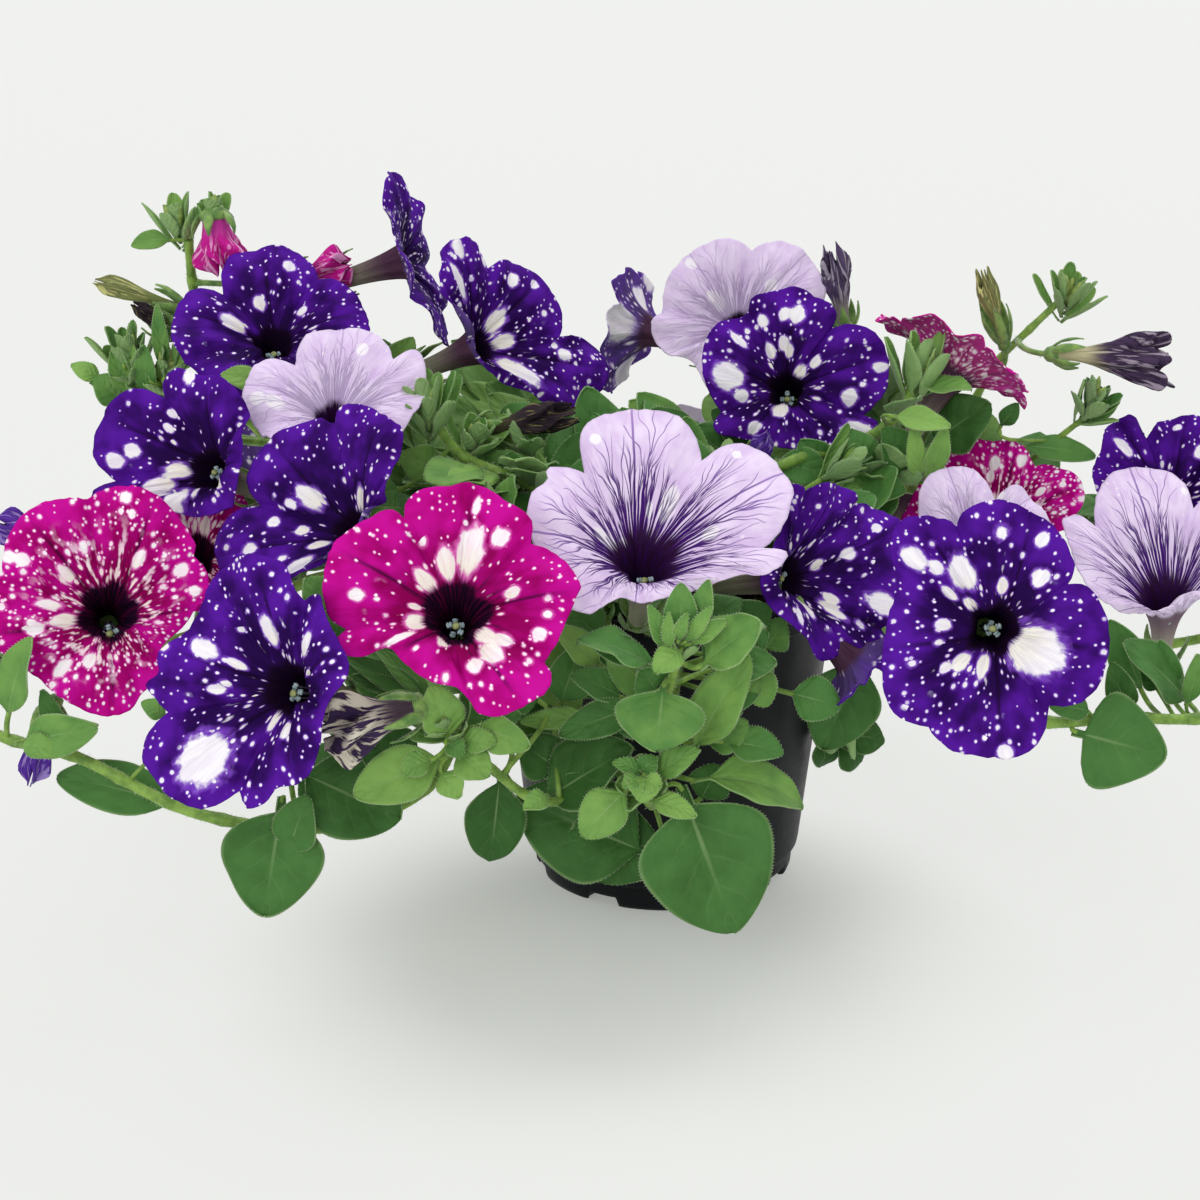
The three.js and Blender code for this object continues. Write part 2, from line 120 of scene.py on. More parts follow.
class Wire:
    """An output of a shader node, on which arithmetic adds Math nodes."""

    def __init__(self, tree: bpy.types.NodeTree, socket: bpy.types.NodeSocket) -> None:
        """Holds an output socket of a node tree."""
        self.tree = tree
        self.socket = socket

    def math(self, operation: str, *values: "Wire | float") -> "Wire":
        """Adds a Math node.

        Args:
            operation: The operation of the Math node.
            values: Its inputs, in order.

        Returns:
            The node's output.
        """
        node = self.tree.nodes.new("ShaderNodeMath")
        node.operation = operation
        for socket, value in zip(node.inputs, values):
            if isinstance(value, Wire):
                self.tree.links.new(value.socket, socket)
            else:
                socket.default_value = value
        return Wire(self.tree, node.outputs[0])

    def __add__(self, other: "Wire | float") -> "Wire":
        """Adds."""
        return self.math("ADD", self, other)

    __radd__ = __add__

    def __sub__(self, other: "Wire | float") -> "Wire":
        """Subtracts."""
        return self.math("SUBTRACT", self, other)

    def __rsub__(self, other: float) -> "Wire":
        """Subtracts from a number."""
        return self.math("SUBTRACT", other, self)

    def __mul__(self, other: "Wire | float") -> "Wire":
        """Multiplies."""
        return self.math("MULTIPLY", self, other)

    __rmul__ = __mul__

    def __truediv__(self, other: "Wire | float") -> "Wire":
        """Divides."""
        return self.math("DIVIDE", self, other)

    def __pow__(self, other: float) -> "Wire":
        """Raises to a power."""
        return self.math("POWER", self, other)

    def __abs__(self) -> "Wire":
        """Drops the sign."""
        return self.math("ABSOLUTE", self)

    def fract(self) -> "Wire":
        """Keeps the part after the point."""
        return self.math("FRACT", self)

    def floor(self) -> "Wire":
        """Drops the part after the point."""
        return self.math("FLOOR", self)

    def over(self, other: "Wire | float") -> "Wire":
        """Keeps the larger of two values."""
        return self.math("MAXIMUM", self, other)

class Shader:
    """A material whose node tree is built by Python expressions."""

    def __init__(self, name: str, **constants: float) -> None:
        """Makes a material with one Principled shader.

        Args:
            name: The material's name.
            constants: Values of the shader's sockets that are the same all over the surface.
        """
        self.material = bpy.data.materials.new(name)
        self.material.use_nodes = True
        self.tree = self.material.node_tree
        self.surface = self.tree.nodes["Principled BSDF"]
        for socket, value in constants.items():
            label = socket.replace("_", " ").title().replace("Ior", "IOR")
            self.surface.inputs[label].default_value = value

    def node(self, kind: str, settings: dict, inputs: dict, output: int | str = 0) -> Wire:
        """Adds any node.

        Args:
            kind: The node's type.
            settings: Its properties, set before its sockets.
            inputs: Values or links, by the sockets' names or numbers.
            output: Which output is given back.

        Returns:
            That output.
        """
        node = self.tree.nodes.new(kind)
        for key, value in settings.items():
            setattr(node, key, value)
        for key, value in inputs.items():
            if isinstance(value, Wire):
                self.tree.links.new(value.socket, node.inputs[key])
            else:
                node.inputs[key].default_value = value
        return Wire(self.tree, node.outputs[output])

    def place(self) -> Wire:
        """Gives the place on the object, in its own metres."""
        return self.node("ShaderNodeTexCoord", {}, {}, "Object")

    def uv(self, name: str) -> tuple[Wire, Wire, Wire]:
        """Gives a UV map of the piece, whole and as its two numbers."""
        whole = self.node("ShaderNodeUVMap", {"uv_map": name}, {}, "UV")
        parts = [self.node("ShaderNodeSeparateXYZ", {}, {0: whole}, i) for i in range(2)]
        return whole, parts[0], parts[1]

    def attribute(self, name: str) -> Wire:
        """Gives a number that the mesh holds for each of its corners."""
        return self.node("ShaderNodeAttribute", {"attribute_name": name}, {}, "Fac")

    def vector(self, x: Wire | float, y: Wire | float) -> Wire:
        """Joins two numbers to a flat vector."""
        return self.node("ShaderNodeCombineXYZ", {}, {0: x, 1: y})

    def noise(self, at: Wire, scale: float, detail: float = 2.0, roughness: float = 0.5) -> Wire:
        """Gives a soft random value between 0 and 1."""
        inputs = {"Vector": at, "Scale": scale, "Detail": detail, "Roughness": roughness}
        return self.node("ShaderNodeTexNoise", {}, inputs, "Fac")

    def ramp(self, value: Wire, low: Wire | float, high: Wire | float) -> Wire:
        """Rises smoothly from 0 at low to 1 at high, or falls where high is below low."""
        settings = {"interpolation_type": "SMOOTHSTEP"}
        return self.node("ShaderNodeMapRange", settings, {"Value": value, "From Min": low, "From Max": high})

    def blend(self, share: Wire | float, first: Wire | Colour, second: Wire | Colour) -> Wire:
        """Mixes two colours."""
        colours = [c if isinstance(c, Wire) else (*c, 1.0) for c in (first, second)]
        inputs = {0: share, 6: colours[0], 7: colours[1]}
        return self.node("ShaderNodeMix", {"data_type": "RGBA"}, inputs, 2)

    def feed(self, socket: str, value: Wire) -> None:
        """Links a value to a socket of the Principled shader."""
        self.tree.links.new(value.socket, self.surface.inputs[socket])

    def bump(self, height: Wire, depth: float, strength: float = 1.0) -> None:
        """Raises the surface by a height of so many millimetres."""
        inputs = {"Height": height, "Distance": depth * MM, "Strength": strength}
        self.feed("Normal", self.node("ShaderNodeBump", {}, inputs))


def srgb(code: int) -> Colour:
    """Turns a colour as it is seen on a screen into the linear one that shaders take.

    Args:
        code: The colour as 0xRRGGBB.

    Returns:
        Its red, green and blue.
    """
    shares = [(code >> shift & 255) / 255 for shift in (16, 8, 0)]
    return tuple(c / 12.92 if c <= 0.04045 else ((c + 0.055) / 1.055) ** 2.4 for c in shares)


# ---- Petal finishes ------------------------------------------------------------------------------

# Four sizes of specks: cells per centimetre, the share of cells with a speck, and its least and largest
# radius in cells.
SPECK_LAYERS = ((5.2, 0.3, 0.12, 0.24), (3.1, 0.32, 0.1, 0.24), (1.7, 0.2, 0.09, 0.2), (0.9, 0.03, 0.1, 0.16))


class FlowerKind(Enum):
    """The three kinds of flower that grow in the pot."""

    PURPLE = "purple"
    MAGENTA = "magenta"
    LAVENDER = "lavender"


@dataclass(frozen=True)
class SpeckledPetal:
    """Velvety petals with white specks, each with a soft light edge."""

    name: str
    dark: Colour
    middle: Colour
    bright: Colour
    halo: Colour
    back: Colour
    white: Colour = srgb(0xF7F4F6)
    cream: Colour = srgb(0xF3EFE2)
    throat: Colour = srgb(0x1A0A20)
    tube: Colour = srgb(0x4C3145)
    tube_base: Colour = srgb(0xA9A98E)

    def specks(self, shader: Shader, at: Wire, amount: Wire) -> tuple[Wire, Wire]:
        """Scatters white specks of four sizes.

        Args:
            shader: The material that is being built.
            at: The petal's coordinates, in centimetres.
            amount: How large the specks are, 1 being usual.

        Returns:
            The white cores and the wider soft edges, each from 0 to 1.
        """
        core = halo = None
        wobble = (shader.noise(at, 8.0) - 0.5) * 0.14
        crowd = shader.noise(at, 0.7, 2.0)
        flat = {"voronoi_dimensions": "2D"}
        for scale, share, small, large in SPECK_LAYERS:
            inputs = {"Vector": at, "Scale": scale, "Randomness": 0.95}
            distance = shader.node("ShaderNodeTexVoronoi", flat, inputs, "Distance") + wobble
            chance = shader.node("ShaderNodeTexVoronoi", flat, inputs, "Color")
            parts = [shader.node("ShaderNodeSeparateColor", {}, {0: chance}, i) for i in range(2)]
            limit = 1.0 - (crowd * 1.4 + 0.3) * amount * share
            here = shader.ramp(parts[0], limit, limit + 0.01)
            radius = small + parts[1] ** 1.5 * (large - small)
            inner = shader.ramp(distance, radius * 1.15, radius * 0.7) * here * (parts[1] * 0.45 + 0.6)
            outer = shader.ramp(distance, radius * 1.9, radius * 0.9) * here
            core = inner if core is None else core.over(inner)
            halo = outer if halo is None else halo.over(outer)
        return core, halo

    def build(self, outer: bool) -> bpy.types.Material:
        """Makes the material of one side of the petals.

        Args:
            outer: Whether it is for the back of the petals and the outside of the tube.

        Returns:
            The material.
        """
        side = "back" if outer else "face"
        shader = Shader(f"petal_{self.name}_{side}", roughness=0.6, specular_ior_level=0.03)
        at, _, _ = shader.uv("petal")
        _, lobe, share = shader.uv("lobe")
        whole = lobe.fract()
        from_middle = abs(whole - 0.5) * 2.0
        rays = shader.noise(shader.vector(lobe * 7.0, share * 0.9), 2.2, 3.0, 0.6)
        cloud = shader.noise(at, 1.1, 2.0)
        amount = shader.attribute("fleck")
        core, halo = self.specks(shader, at, amount)
        blotch = shader.attribute("blotch") + (shader.noise(at, 3.4) - 0.5) * 0.7 + (rays - 0.5) * 0.28
        grain = shader.noise(shader.vector(lobe * 6.0, share * 3.2), 1.6, 2.0)
        grain = grain + shader.ramp(amount, 0.5, 1.5) * 0.17
        mottle = shader.ramp(grain, 0.7, 0.84) * shader.ramp(share, 0.8, 0.15)
        core = core.over(shader.ramp(blotch, 0.03, 0.26)).over(mottle * 0.9)
        halo = halo.over(shader.ramp(blotch, -0.2, 0.1)).over(shader.ramp(grain, 0.66, 0.76) * mottle)

        tone = shader.ramp(cloud * 0.55 + share * 0.45 + (rays - 0.5) * 0.5, 0.3, 0.75)
        colour = shader.blend(tone, self.dark, self.middle)
        colour = shader.blend(shader.ramp(cloud + share * 0.25, 0.5, 0.9), colour, self.bright)
        deep = shader.blend(shader.ramp(rays, 0.45, 0.7) * 0.4, self.throat, self.dark)
        # Painted shade: each lobe's midline darkens towards the throat. This is partly the midrib vein's own
        # colour and partly painted shade in the crease that the bump cuts there.
        line = shader.ramp(from_middle, 0.06, 0.0) * shader.ramp(share, 0.98, 0.45) * 0.8
        streak = shader.ramp(rays, 0.52, 0.62) * shader.ramp(share, 0.45, 0.05) * 0.7
        colour = shader.blend(line.over(streak), colour, self.throat)
        colour = shader.blend(halo * 0.85, colour, self.halo)
        tint = shader.blend(shader.ramp(share, 0.45, 0.12), self.white, self.cream)
        streaked = shader.ramp(rays, 0.62, 0.4) * 0.16 + 0.84
        dim = shader.ramp(share + (rays - 0.5) * 0.2, -0.03, 0.07)
        colour = shader.blend(core * streaked * dim * 0.97, colour, tint)
        colour = shader.blend(1.0 - dim, colour, deep)
        if outer:
            pale = shader.blend(halo * 0.6 + 0.1, self.back, self.white)
            colour = shader.blend(0.3, colour, pale)
            length = shader.ramp(share + (rays - 0.5) * 0.2, -1.0, -0.1)
            tube = shader.blend(length, self.tube_base, self.tube)
            colour = shader.blend(shader.ramp(share, 0.2, 0.02), colour, tube)
        shader.feed("Base Color", colour)
        veins = shader.noise(shader.vector(lobe * 12.0, share * 1.5), 3.0, 2.0)
        fold = shader.ramp(from_middle, 0.0, 0.08) * 0.5
        shader.bump(veins * 0.5 + fold + shader.noise(at, 18.0) * 0.1, 0.7, 0.8)
        return shader.material


# Five ranks of veins: how many on a lobe, their width in millimetres, and how far they reach towards the rim.
VEIN_LAYERS = ((1.0, 0.46, 2.4), (3.0, 0.26, 1.0), (5.0, 0.26, 0.8), (8.0, 0.24, 0.62), (13.0, 0.24, 0.42))


@dataclass(frozen=True)
class VeinedPetal:
    """Pale lavender petals with dark branching veins that run out of the throat."""

    name: str = "lavender"
    pale: Colour = srgb(0xE4D4EE)
    deep: Colour = srgb(0xD4BCE2)
    vein: Colour = srgb(0x3E1268)
    soft: Colour = srgb(0x7C50AC)
    white: Colour = srgb(0xF3EFF4)
    throat: Colour = srgb(0x2A0E30)
    tube: Colour = srgb(0x6C5866)
    tube_base: Colour = srgb(0xB9B9A0)

    def build(self, outer: bool) -> bpy.types.Material:
        """Makes the material of one side of the petals.

        Args:
            outer: Whether it is for the back of the petals and the outside of the tube.

        Returns:
            The material.
        """
        side = "back" if outer else "face"
        shader = Shader(f"petal_{self.name}_{side}", roughness=0.65, specular_ior_level=0.08)
        at, _, _ = shader.uv("petal")
        _, lobe, share = shader.uv("lobe")
        cloud = shader.noise(at, 1.4, 3.0)
        fine = shader.noise(shader.vector(lobe * 9.0, share * 1.2), 3.0, 3.0, 0.6)
        colour = shader.blend(shader.ramp(cloud * 0.6 + fine * 0.4, 0.35, 0.65), self.pale, self.deep)

        warp = (shader.noise(shader.vector(lobe * 2.2, share * 1.5), 2.0, 1.0) - 0.5) * 0.13
        lobe_width = share * 32.0 + 10.0
        veins = None
        for rank, (count, width, reach) in enumerate(VEIN_LAYERS):
            across = (lobe + warp * (1.0 if rank else 0.2)) * count + rank * 0.37
            chance = shader.node("ShaderNodeTexWhiteNoise", {"noise_dimensions": "1D"}, {"W": across.floor()},
                                 "Value")
            far = (chance * 0.8 + 0.5) * reach
            thick = (shader.ramp(share, 0.45, 0.0) * 0.7 + 0.6) * width * count / lobe_width
            off = abs(across.fract() - 0.5)
            line = shader.ramp(off, thick, thick * 0.6)
            for later, spread in ((0.06, 0.9), (0.3, 0.6)) if rank else ():
                fork = abs(off - (share - chance * 0.3 - later) * spread)
                line = line.over(shader.ramp(fork, thick * 0.85, thick * 0.45) * 0.9)
            line = line * shader.ramp(share, far, far * 0.75)
            veins = line if veins is None else veins.over(line)
        fleck = shader.attribute("fleck")
        strong = (shader.ramp(share, 1.1, 0.3) * 0.35 + 0.65) * fleck
        ink = shader.blend(shader.ramp(share, 0.3, 0.9), self.vein, self.soft)
        colour = shader.blend(veins * strong, colour, ink)

        inputs = {"Vector": at, "Scale": 2.6}
        spots = shader.node("ShaderNodeTexVoronoi", {}, inputs, "Distance")
        flecks = shader.ramp(spots, 0.2, 0.05) * shader.ramp(cloud, 0.45, 0.6) * 0.6
        blotch = shader.attribute("blotch") + (shader.noise(at, 6.0) - 0.5) * 0.3
        flecks = flecks.over(shader.ramp(blotch, -0.1, 0.25) * 0.85)
        colour = shader.blend(flecks * (1.0 - veins * 0.8), colour, self.white)
        dark = shader.ramp(share + (fine - 0.5) * 0.3 - fleck * 0.16, -0.02, -0.13)
        inside = shader.blend(shader.ramp(fine, 0.45, 0.75), self.throat, self.vein)
        colour = shader.blend(dark, colour, inside)
        if outer:
            colour = shader.blend(0.62, colour, self.pale)
            length = shader.ramp(share + (fine - 0.5) * 0.3, -1.0, -0.1)
            tube = shader.blend(length, self.tube_base, self.tube)
            colour = shader.blend(shader.ramp(share, 0.1, -0.05), colour, tube)
        shader.feed("Base Color", colour)
        shader.bump(fine * 0.5 + veins * 0.4 + shader.noise(at, 16.0) * 0.1, 0.5, 0.7)
        return shader.material


PETAL_LOOKS = {
    FlowerKind.PURPLE: SpeckledPetal("purple", srgb(0x220743), srgb(0x380B6A), srgb(0x541899),
                                     srgb(0x7E48C0), srgb(0x6A4A9C)),
    FlowerKind.MAGENTA: SpeckledPetal("magenta", srgb(0x86004E), srgb(0xAE0278), srgb(0xC20E94),
                                      srgb(0xDC62B8), srgb(0xAE3086)),
    FlowerKind.LAVENDER: VeinedPetal(),
}


# ---- Green, brown and black finishes -------------------------------------------------------------


@dataclass(frozen=True)
class LeafFinish:
    """Soft hairy leaves with pale veins and a pale edge."""

    name: str
    young: Colour = srgb(0x7FA853)
    middle: Colour = srgb(0x4B7C3B)
    dark: Colour = srgb(0x2B531F)
    vein: Colour = srgb(0xA4BE86)
    under: Colour = srgb(0x96B27E)

    def build(self, outer: bool) -> bpy.types.Material:
        """Makes the material of one side of the leaves.

        Args:
            outer: Whether it is for the underside.

        Returns:
            The material.
        """
        side = "under" if outer else "upper"
        shader = Shader(f"{self.name}_{side}", roughness=0.6, sheen_weight=0.1, sheen_roughness=0.35,
                        specular_ior_level=0.2)
        at = shader.place()
        _, across, along = shader.uv("leaf")
        # The shade attribute darkens a leaf's green: partly its own tone, partly painted shade on leaves that
        # lie in shadow.
        shade = shader.attribute("shade")
        cloud = shader.noise(at, 120.0, 3.0)
        tone = shade + (cloud - 0.5) * 0.5
        colour = shader.blend(shader.ramp(tone, 0.0, 0.5), self.young, self.middle)
        colour = shader.blend(shader.ramp(tone, 0.45, 1.05), colour, self.dark)
        off = abs(across - 0.5) * 2.0
        bend = shader.noise(at, 200.0) * 0.5
        side_vein = abs((along * 5.0 - off * 1.6 + bend).fract() - 0.5)
        veins = shader.ramp(side_vein, 0.07, 0.01) * shader.ramp(off, 0.9, 0.3) * 0.05
        veins = veins.over(shader.ramp(off, 0.045, 0.015) * shader.ramp(along, 0.9, 0.2) * 0.34)
        colour = shader.blend(veins, colour, self.vein)
        edge = shader.ramp(off, 0.93, 1.0) * 0.3
        colour = shader.blend(edge, colour, self.vein)
        if outer:
            colour = shader.blend(0.55, colour, self.under)
        shader.feed("Base Color", colour)
        cells = shader.node("ShaderNodeTexVoronoi", {}, {"Vector": at, "Scale": 900.0}, "Distance")
        quilt = shader.ramp(side_vein, 0.0, 0.4)
        shader.bump(quilt * 0.5 + cells * 0.3 + shader.noise(at, 160.0, 3.0) * 1.6, 0.3, 0.8)
        return shader.material


@dataclass(frozen=True)
class FurledPetal:
    """Petals of a closed flower or bud, streaked along their length from a dull tube to a darker mouth."""

    name: str
    dark: Colour
    middle: Colour
    pale: Colour
    tube: Colour
    paleness: float = 0.48

    def build(self) -> bpy.types.Material:
        """Makes the material."""
        shader = Shader(self.name, roughness=0.6, specular_ior_level=0.1)
        at, lobe, share = shader.uv("lobe")
        streaks = shader.noise(shader.vector(lobe * 3.0, share * 1.3), 2.0, 3.0, 0.6)
        fine = shader.noise(shader.vector(lobe * 16.0, share * 3.0), 2.0, 2.0)
        colour = shader.blend(shader.ramp(streaks + (fine - 0.5) * 0.3, 0.42, 0.6), self.dark, self.middle)
        spots = shader.node("ShaderNodeTexVoronoi", {}, {"Vector": at, "Scale": 4.0}, "Distance")
        pale = shader.ramp(streaks, self.paleness, self.paleness - 0.09)
        pale = pale.over(shader.ramp(spots, 0.26, 0.12) * 0.7)
        colour = shader.blend(pale * 0.85, colour, self.pale)
        colour = shader.blend(shader.ramp(share + (streaks - 0.5) * 0.5, 0.55, 0.25), colour, self.tube)
        shader.feed("Base Color", colour)
        shader.bump(fine * 0.6 + streaks * 0.8, 0.6, 0.8)
        return shader.material


@dataclass(frozen=True)
class MottledFinish:
    """Any surface whose colour changes softly between two tones over a fine grain."""

    name: str
    first: Colour
    second: Colour
    scale: float
    roughness: float
    grain: float
    depth: float
    sheen: float = 0.0

    def build(self) -> bpy.types.Material:
        """Makes the material."""
        shader = Shader(self.name, roughness=self.roughness, sheen_weight=self.sheen, sheen_roughness=0.4,
                        specular_ior_level=0.35)
        at = shader.place()
        cloud = shader.noise(at, self.scale, 4.0, 0.6)
        shader.feed("Base Color", shader.blend(shader.ramp(cloud, 0.35, 0.68), self.first, self.second))
        shader.bump(shader.noise(at, self.grain, 3.0), self.depth)
        return shader.material


@dataclass(frozen=True)
class PotPlastic:
    """Near-black moulded plastic with a faint bluish dust and fine scratches."""

    name: str = "pot_plastic"
    black: Colour = srgb(0x0C0F12)
    dusty: Colour = srgb(0x12161A)

    def build(self) -> bpy.types.Material:
        """Makes the material."""
        shader = Shader(self.name, specular_ior_level=0.12)
        at = shader.place()
        dust = shader.noise(at, 45.0, 5.0, 0.65)
        specks = shader.noise(at, 900.0, 2.0)
        colour = shader.blend(shader.ramp(dust, 0.42, 0.75), self.black, self.dusty)
        shader.feed("Base Color", colour)
        shader.feed("Roughness", shader.ramp(dust, 0.3, 0.8) * 0.2 + 0.36)
        shader.bump(specks * 0.6 + shader.noise(at, 260.0, 3.0) * 0.6, 0.12, 0.5)
        return shader.material


LEAF = LeafFinish("leaf")
STEM_GREEN = MottledFinish("stem_green", srgb(0x84A848), srgb(0x5A7E2E), 220.0, 0.5, 700.0, 0.2, 0.15)
CALYX_GREEN = MottledFinish("calyx_green", srgb(0x7FA052), srgb(0x4F7A38), 260.0, 0.55, 800.0, 0.2, 0.3)
HAIR_WHITE = MottledFinish("plant_hair", srgb(0xDCE4C8), srgb(0xBCCBA2), 300.0, 0.5, 900.0, 0.02)
BUD_GREEN = MottledFinish("bud_green", srgb(0x9FB25E), srgb(0x5F7A3A), 420.0, 0.55, 900.0, 0.15, 0.1)
ANTHER = MottledFinish("anther", srgb(0x9FB0B4), srgb(0x6A7E84), 900.0, 0.7, 2500.0, 0.1)
STIGMA = MottledFinish("stigma", srgb(0x9DA26A), srgb(0x6F7A45), 900.0, 0.4, 2500.0, 0.1)
FILAMENT = MottledFinish("filament", srgb(0x9A8FA8), srgb(0x6C5F80), 900.0, 0.5, 2500.0, 0.05)
PEAT = MottledFinish("peat", srgb(0x2E2017), srgb(0x4D3826), 350.0, 0.95, 900.0, 0.9)
PERLITE = MottledFinish("perlite", srgb(0xE8E4DA), srgb(0xC9C2B4), 600.0, 0.85, 1500.0, 0.3)
FURLED_PURPLE = FurledPetal("furled_purple", srgb(0x1E1428), srgb(0x463452), srgb(0xA698AA), srgb(0xD2CCA2))
FURLED_BLACK = FurledPetal("furled_black", srgb(0x1C1626), srgb(0x5A4A6C), srgb(0xB4AABC), srgb(0x9A928E),
                           0.5)
FURLED_CREAM = FurledPetal("furled_cream", srgb(0x160C1E), srgb(0x3A2A4C), srgb(0xE6DECC), srgb(0x4E3E4A),
                           0.54)
FURLED_BROWN = FurledPetal("furled_brown", srgb(0x1C1420), srgb(0x352A30), srgb(0x857A4E), srgb(0x4A4632),
                           0.41)
FURLED_MAGENTA = FurledPetal("furled_magenta", srgb(0xA60070), srgb(0xC41C90), srgb(0xF0A8DA),
                             srgb(0xC43C9C), 0.5)
FURLED_VIOLET = FurledPetal("furled_violet", srgb(0x3C1278), srgb(0x5C34A0), srgb(0x9C84C8), srgb(0x7A6C8A))
FURLED_YELLOW = FurledPetal("furled_yellow", srgb(0x4A4E3C), srgb(0x8A9256), srgb(0xCFCE86), srgb(0x76864A))
PLASTIC = PotPlastic()
MADE: dict[tuple, bpy.types.Material] = {}


def dress(*finishes: object) -> list[bpy.types.Material]:
    """Gives the materials of some finishes, each made once.

    Args:
        finishes: Finishes, or pairs of a two-sided finish and whether its outer side is meant.

    Returns:
        Their materials, in order.
    """
    made = []
    for finish in finishes:
        look, arguments = (finish[0], finish[1:]) if isinstance(finish, tuple) else (finish, ())
        key = (look.name, *arguments)
        if key not in MADE:
            MADE[key] = look.build(*arguments)
        made.append(MADE[key])
    return made


# ---- Shapes --------------------------------------------------------------------------------------


LOBES = 5
SPLINE_STEPS = 12


def smooth(value: float, low: float, high: float) -> float:
    """Rises smoothly from 0 at low to 1 at high."""
    share = min(1.0, max(0.0, (value - low) / (high - low)))
    return share * share * (3 - 2 * share)


def spline(points: list, count: int) -> list[Vector]:
    """Samples the smooth curve through some points.

    Args:
        points: The points, of any number of dimensions up to four.
        count: How many samples are wanted.

    Returns:
        Points at equal steps along the curve.
    """
    knots = [Vector(p) for p in points]
    knots = [knots[0] * 2 - knots[1], *knots, knots[-1] * 2 - knots[-2]]
    dense = []
    for a, b, c, d in zip(knots, knots[1:], knots[2:], knots[3:]):
        times = [0.0]
        for p, q in ((a, b), (b, c), (c, d)):
            times.append(times[-1] + max(1e-4, math.sqrt((q - p).length)))
        for i in range(SPLINE_STEPS):
            t = times[1] + (times[2] - times[1]) * i / SPLINE_STEPS
            level = [a, b, c, d]
            for low, high in ((0, 1), (0, 2), (1, 2)):
                level = [p + (q - p) * ((t - times[k + low]) / (times[k + high] - times[k + low]))
                         for k, (p, q) in enumerate(zip(level, level[1:]))]
            dense.append(level[0])
    dense.append(knots[-2])
    lengths = [0.0]
    for p, q in zip(dense, dense[1:]):
        lengths.append(lengths[-1] + (q - p).length)
    places = np.linspace(0, lengths[-1], count)
    columns = [np.interp(places, lengths, [p[i] for p in dense]) for i in range(len(dense[0]))]
    return [Vector(values) for values in zip(*columns)]


def bezier(a: Vector, b: Vector, c: Vector, d: Vector, count: int) -> list[Vector]:
    """Samples a cubic curve.

    Args:
        a: Its start.
        b: The point that it leaves towards.
        c: The point that it arrives from.
        d: Its end.
        count: How many samples are wanted.

    Returns:
        The samples.
    """
    return [
        a * (1 - t) ** 3 + b * 3 * t * (1 - t) ** 2 + c * 3 * t * t * (1 - t) + d * t**3
        for t in np.linspace(0, 1, count)
    ]


def turn_to(direction: Vector) -> Matrix:
    """Gives the turn that points +Z along a direction."""
    return direction.to_track_quat("Z", "Y").to_matrix().to_4x4()


def sweep(bm: bmesh.types.BMesh, path: list[Vector], radii: list[float], sides: int,
          material: int = 0) -> None:
    """Draws a round rod along a path and closes its ends.

    Args:
        bm: The mesh that it is added to.
        path: The middle line.
        radii: The radius at each point of the path.
        sides: How many sides the rod has.
        material: The number of the rod's material.
    """
    ways = [(path[min(i + 1, len(path) - 1)] - path[max(i - 1, 0)]).normalized() for i in range(len(path))]
    spin = ways[0].to_track_quat("Z", "Y")
    places = []
    for i, way in enumerate(ways):
        if i:
            spin = ways[i - 1].rotation_difference(way) @ spin
        size = Matrix.Scale(max(radii[i], 1e-3), 4)
        places.append(Matrix.Translation(path[i]) @ spin.to_matrix().to_4x4() @ size)
    first = bmesh.ops.create_circle(bm, cap_ends=False, segments=sides, radius=1.0, matrix=places[0])
    ring = first["verts"]
    edges = list({edge for vert in ring for edge in vert.link_edges})
    faces = list(bmesh.ops.contextual_create(bm, geom=edges)["faces"])
    for before, after in zip(places, places[1:]):
        made = bmesh.ops.extrude_edge_only(bm, edges=edges)["geom"]
        ring = [item for item in made if isinstance(item, bmesh.types.BMVert)]
        edges = [item for item in made
                 if isinstance(item, bmesh.types.BMEdge) and all(vert in ring for vert in item.verts)]
        faces += [item for item in made if isinstance(item, bmesh.types.BMFace)]
        bmesh.ops.transform(bm, matrix=after @ before.inverted(), verts=ring)
    faces += list(bmesh.ops.contextual_create(bm, geom=edges)["faces"])
    bmesh.ops.recalc_face_normals(bm, faces=faces)
    for face in faces:
        face.material_index = material


def lathe(bm: bmesh.types.BMesh, profile: list[tuple[float, float]], steps: int) -> None:
    """Turns a line round the Z axis into a round skin.

    Args:
        bm: The mesh that it is added to.
        profile: The line, as distances from the axis and heights.
        steps: How many steps a full turn has.
    """
    line = [bm.verts.new((radius, 0, height)) for radius, height in profile]
    edges = [bm.edges.new(pair) for pair in zip(line, line[1:])]
    bmesh.ops.spin(bm, geom=line + edges, cent=(0, 0, 0), axis=(0, 0, 1), angle=math.tau, steps=steps,
                   use_merge=True, dvec=(0, 0, 0))


def disc(bm: bmesh.types.BMesh, rows: int, steps: int, upwards: bool) -> None:
    """Makes a flat disc of rings, one unit apart, from which a flower is bent.

    Args:
        bm: The mesh that it is added to.
        rows: How many rings surround the innermost one, whose radius is one unit.
        steps: How many corners a ring has.
        upwards: Whether the disc faces up.
    """
    lathe(bm, [(1.0 + row, 0.0) for row in range(rows + 1)], steps)
    inner = [edge for edge in bm.edges if edge.is_boundary and edge.verts[0].co.xy.length < 1.5]
    bmesh.ops.contextual_create(bm, geom=inner)
    bmesh.ops.recalc_face_normals(bm, faces=bm.faces)
    if (next(iter(bm.faces)).normal.z > 0) != upwards:
        bmesh.ops.reverse_faces(bm, faces=bm.faces)


def write_lobes(bm: bmesh.types.BMesh, places: dict) -> None:
    """Writes the number of the lobe and the share of the way out as petal coordinates.

    Args:
        bm: The mesh, which has the UV map for them.
        places: The lobe and the share of each corner.
    """
    layer = bm.loops.layers.uv["lobe"]
    for face in bm.faces:
        numbers = [places[vert][0] for vert in face.verts]
        seam = max(numbers) - min(numbers) > LOBES / 2
        for loop in face.loops:
            lobe, share = places[loop.vert]
            loop[layer].uv = (lobe + LOBES if seam and lobe < LOBES / 2 else lobe, share)


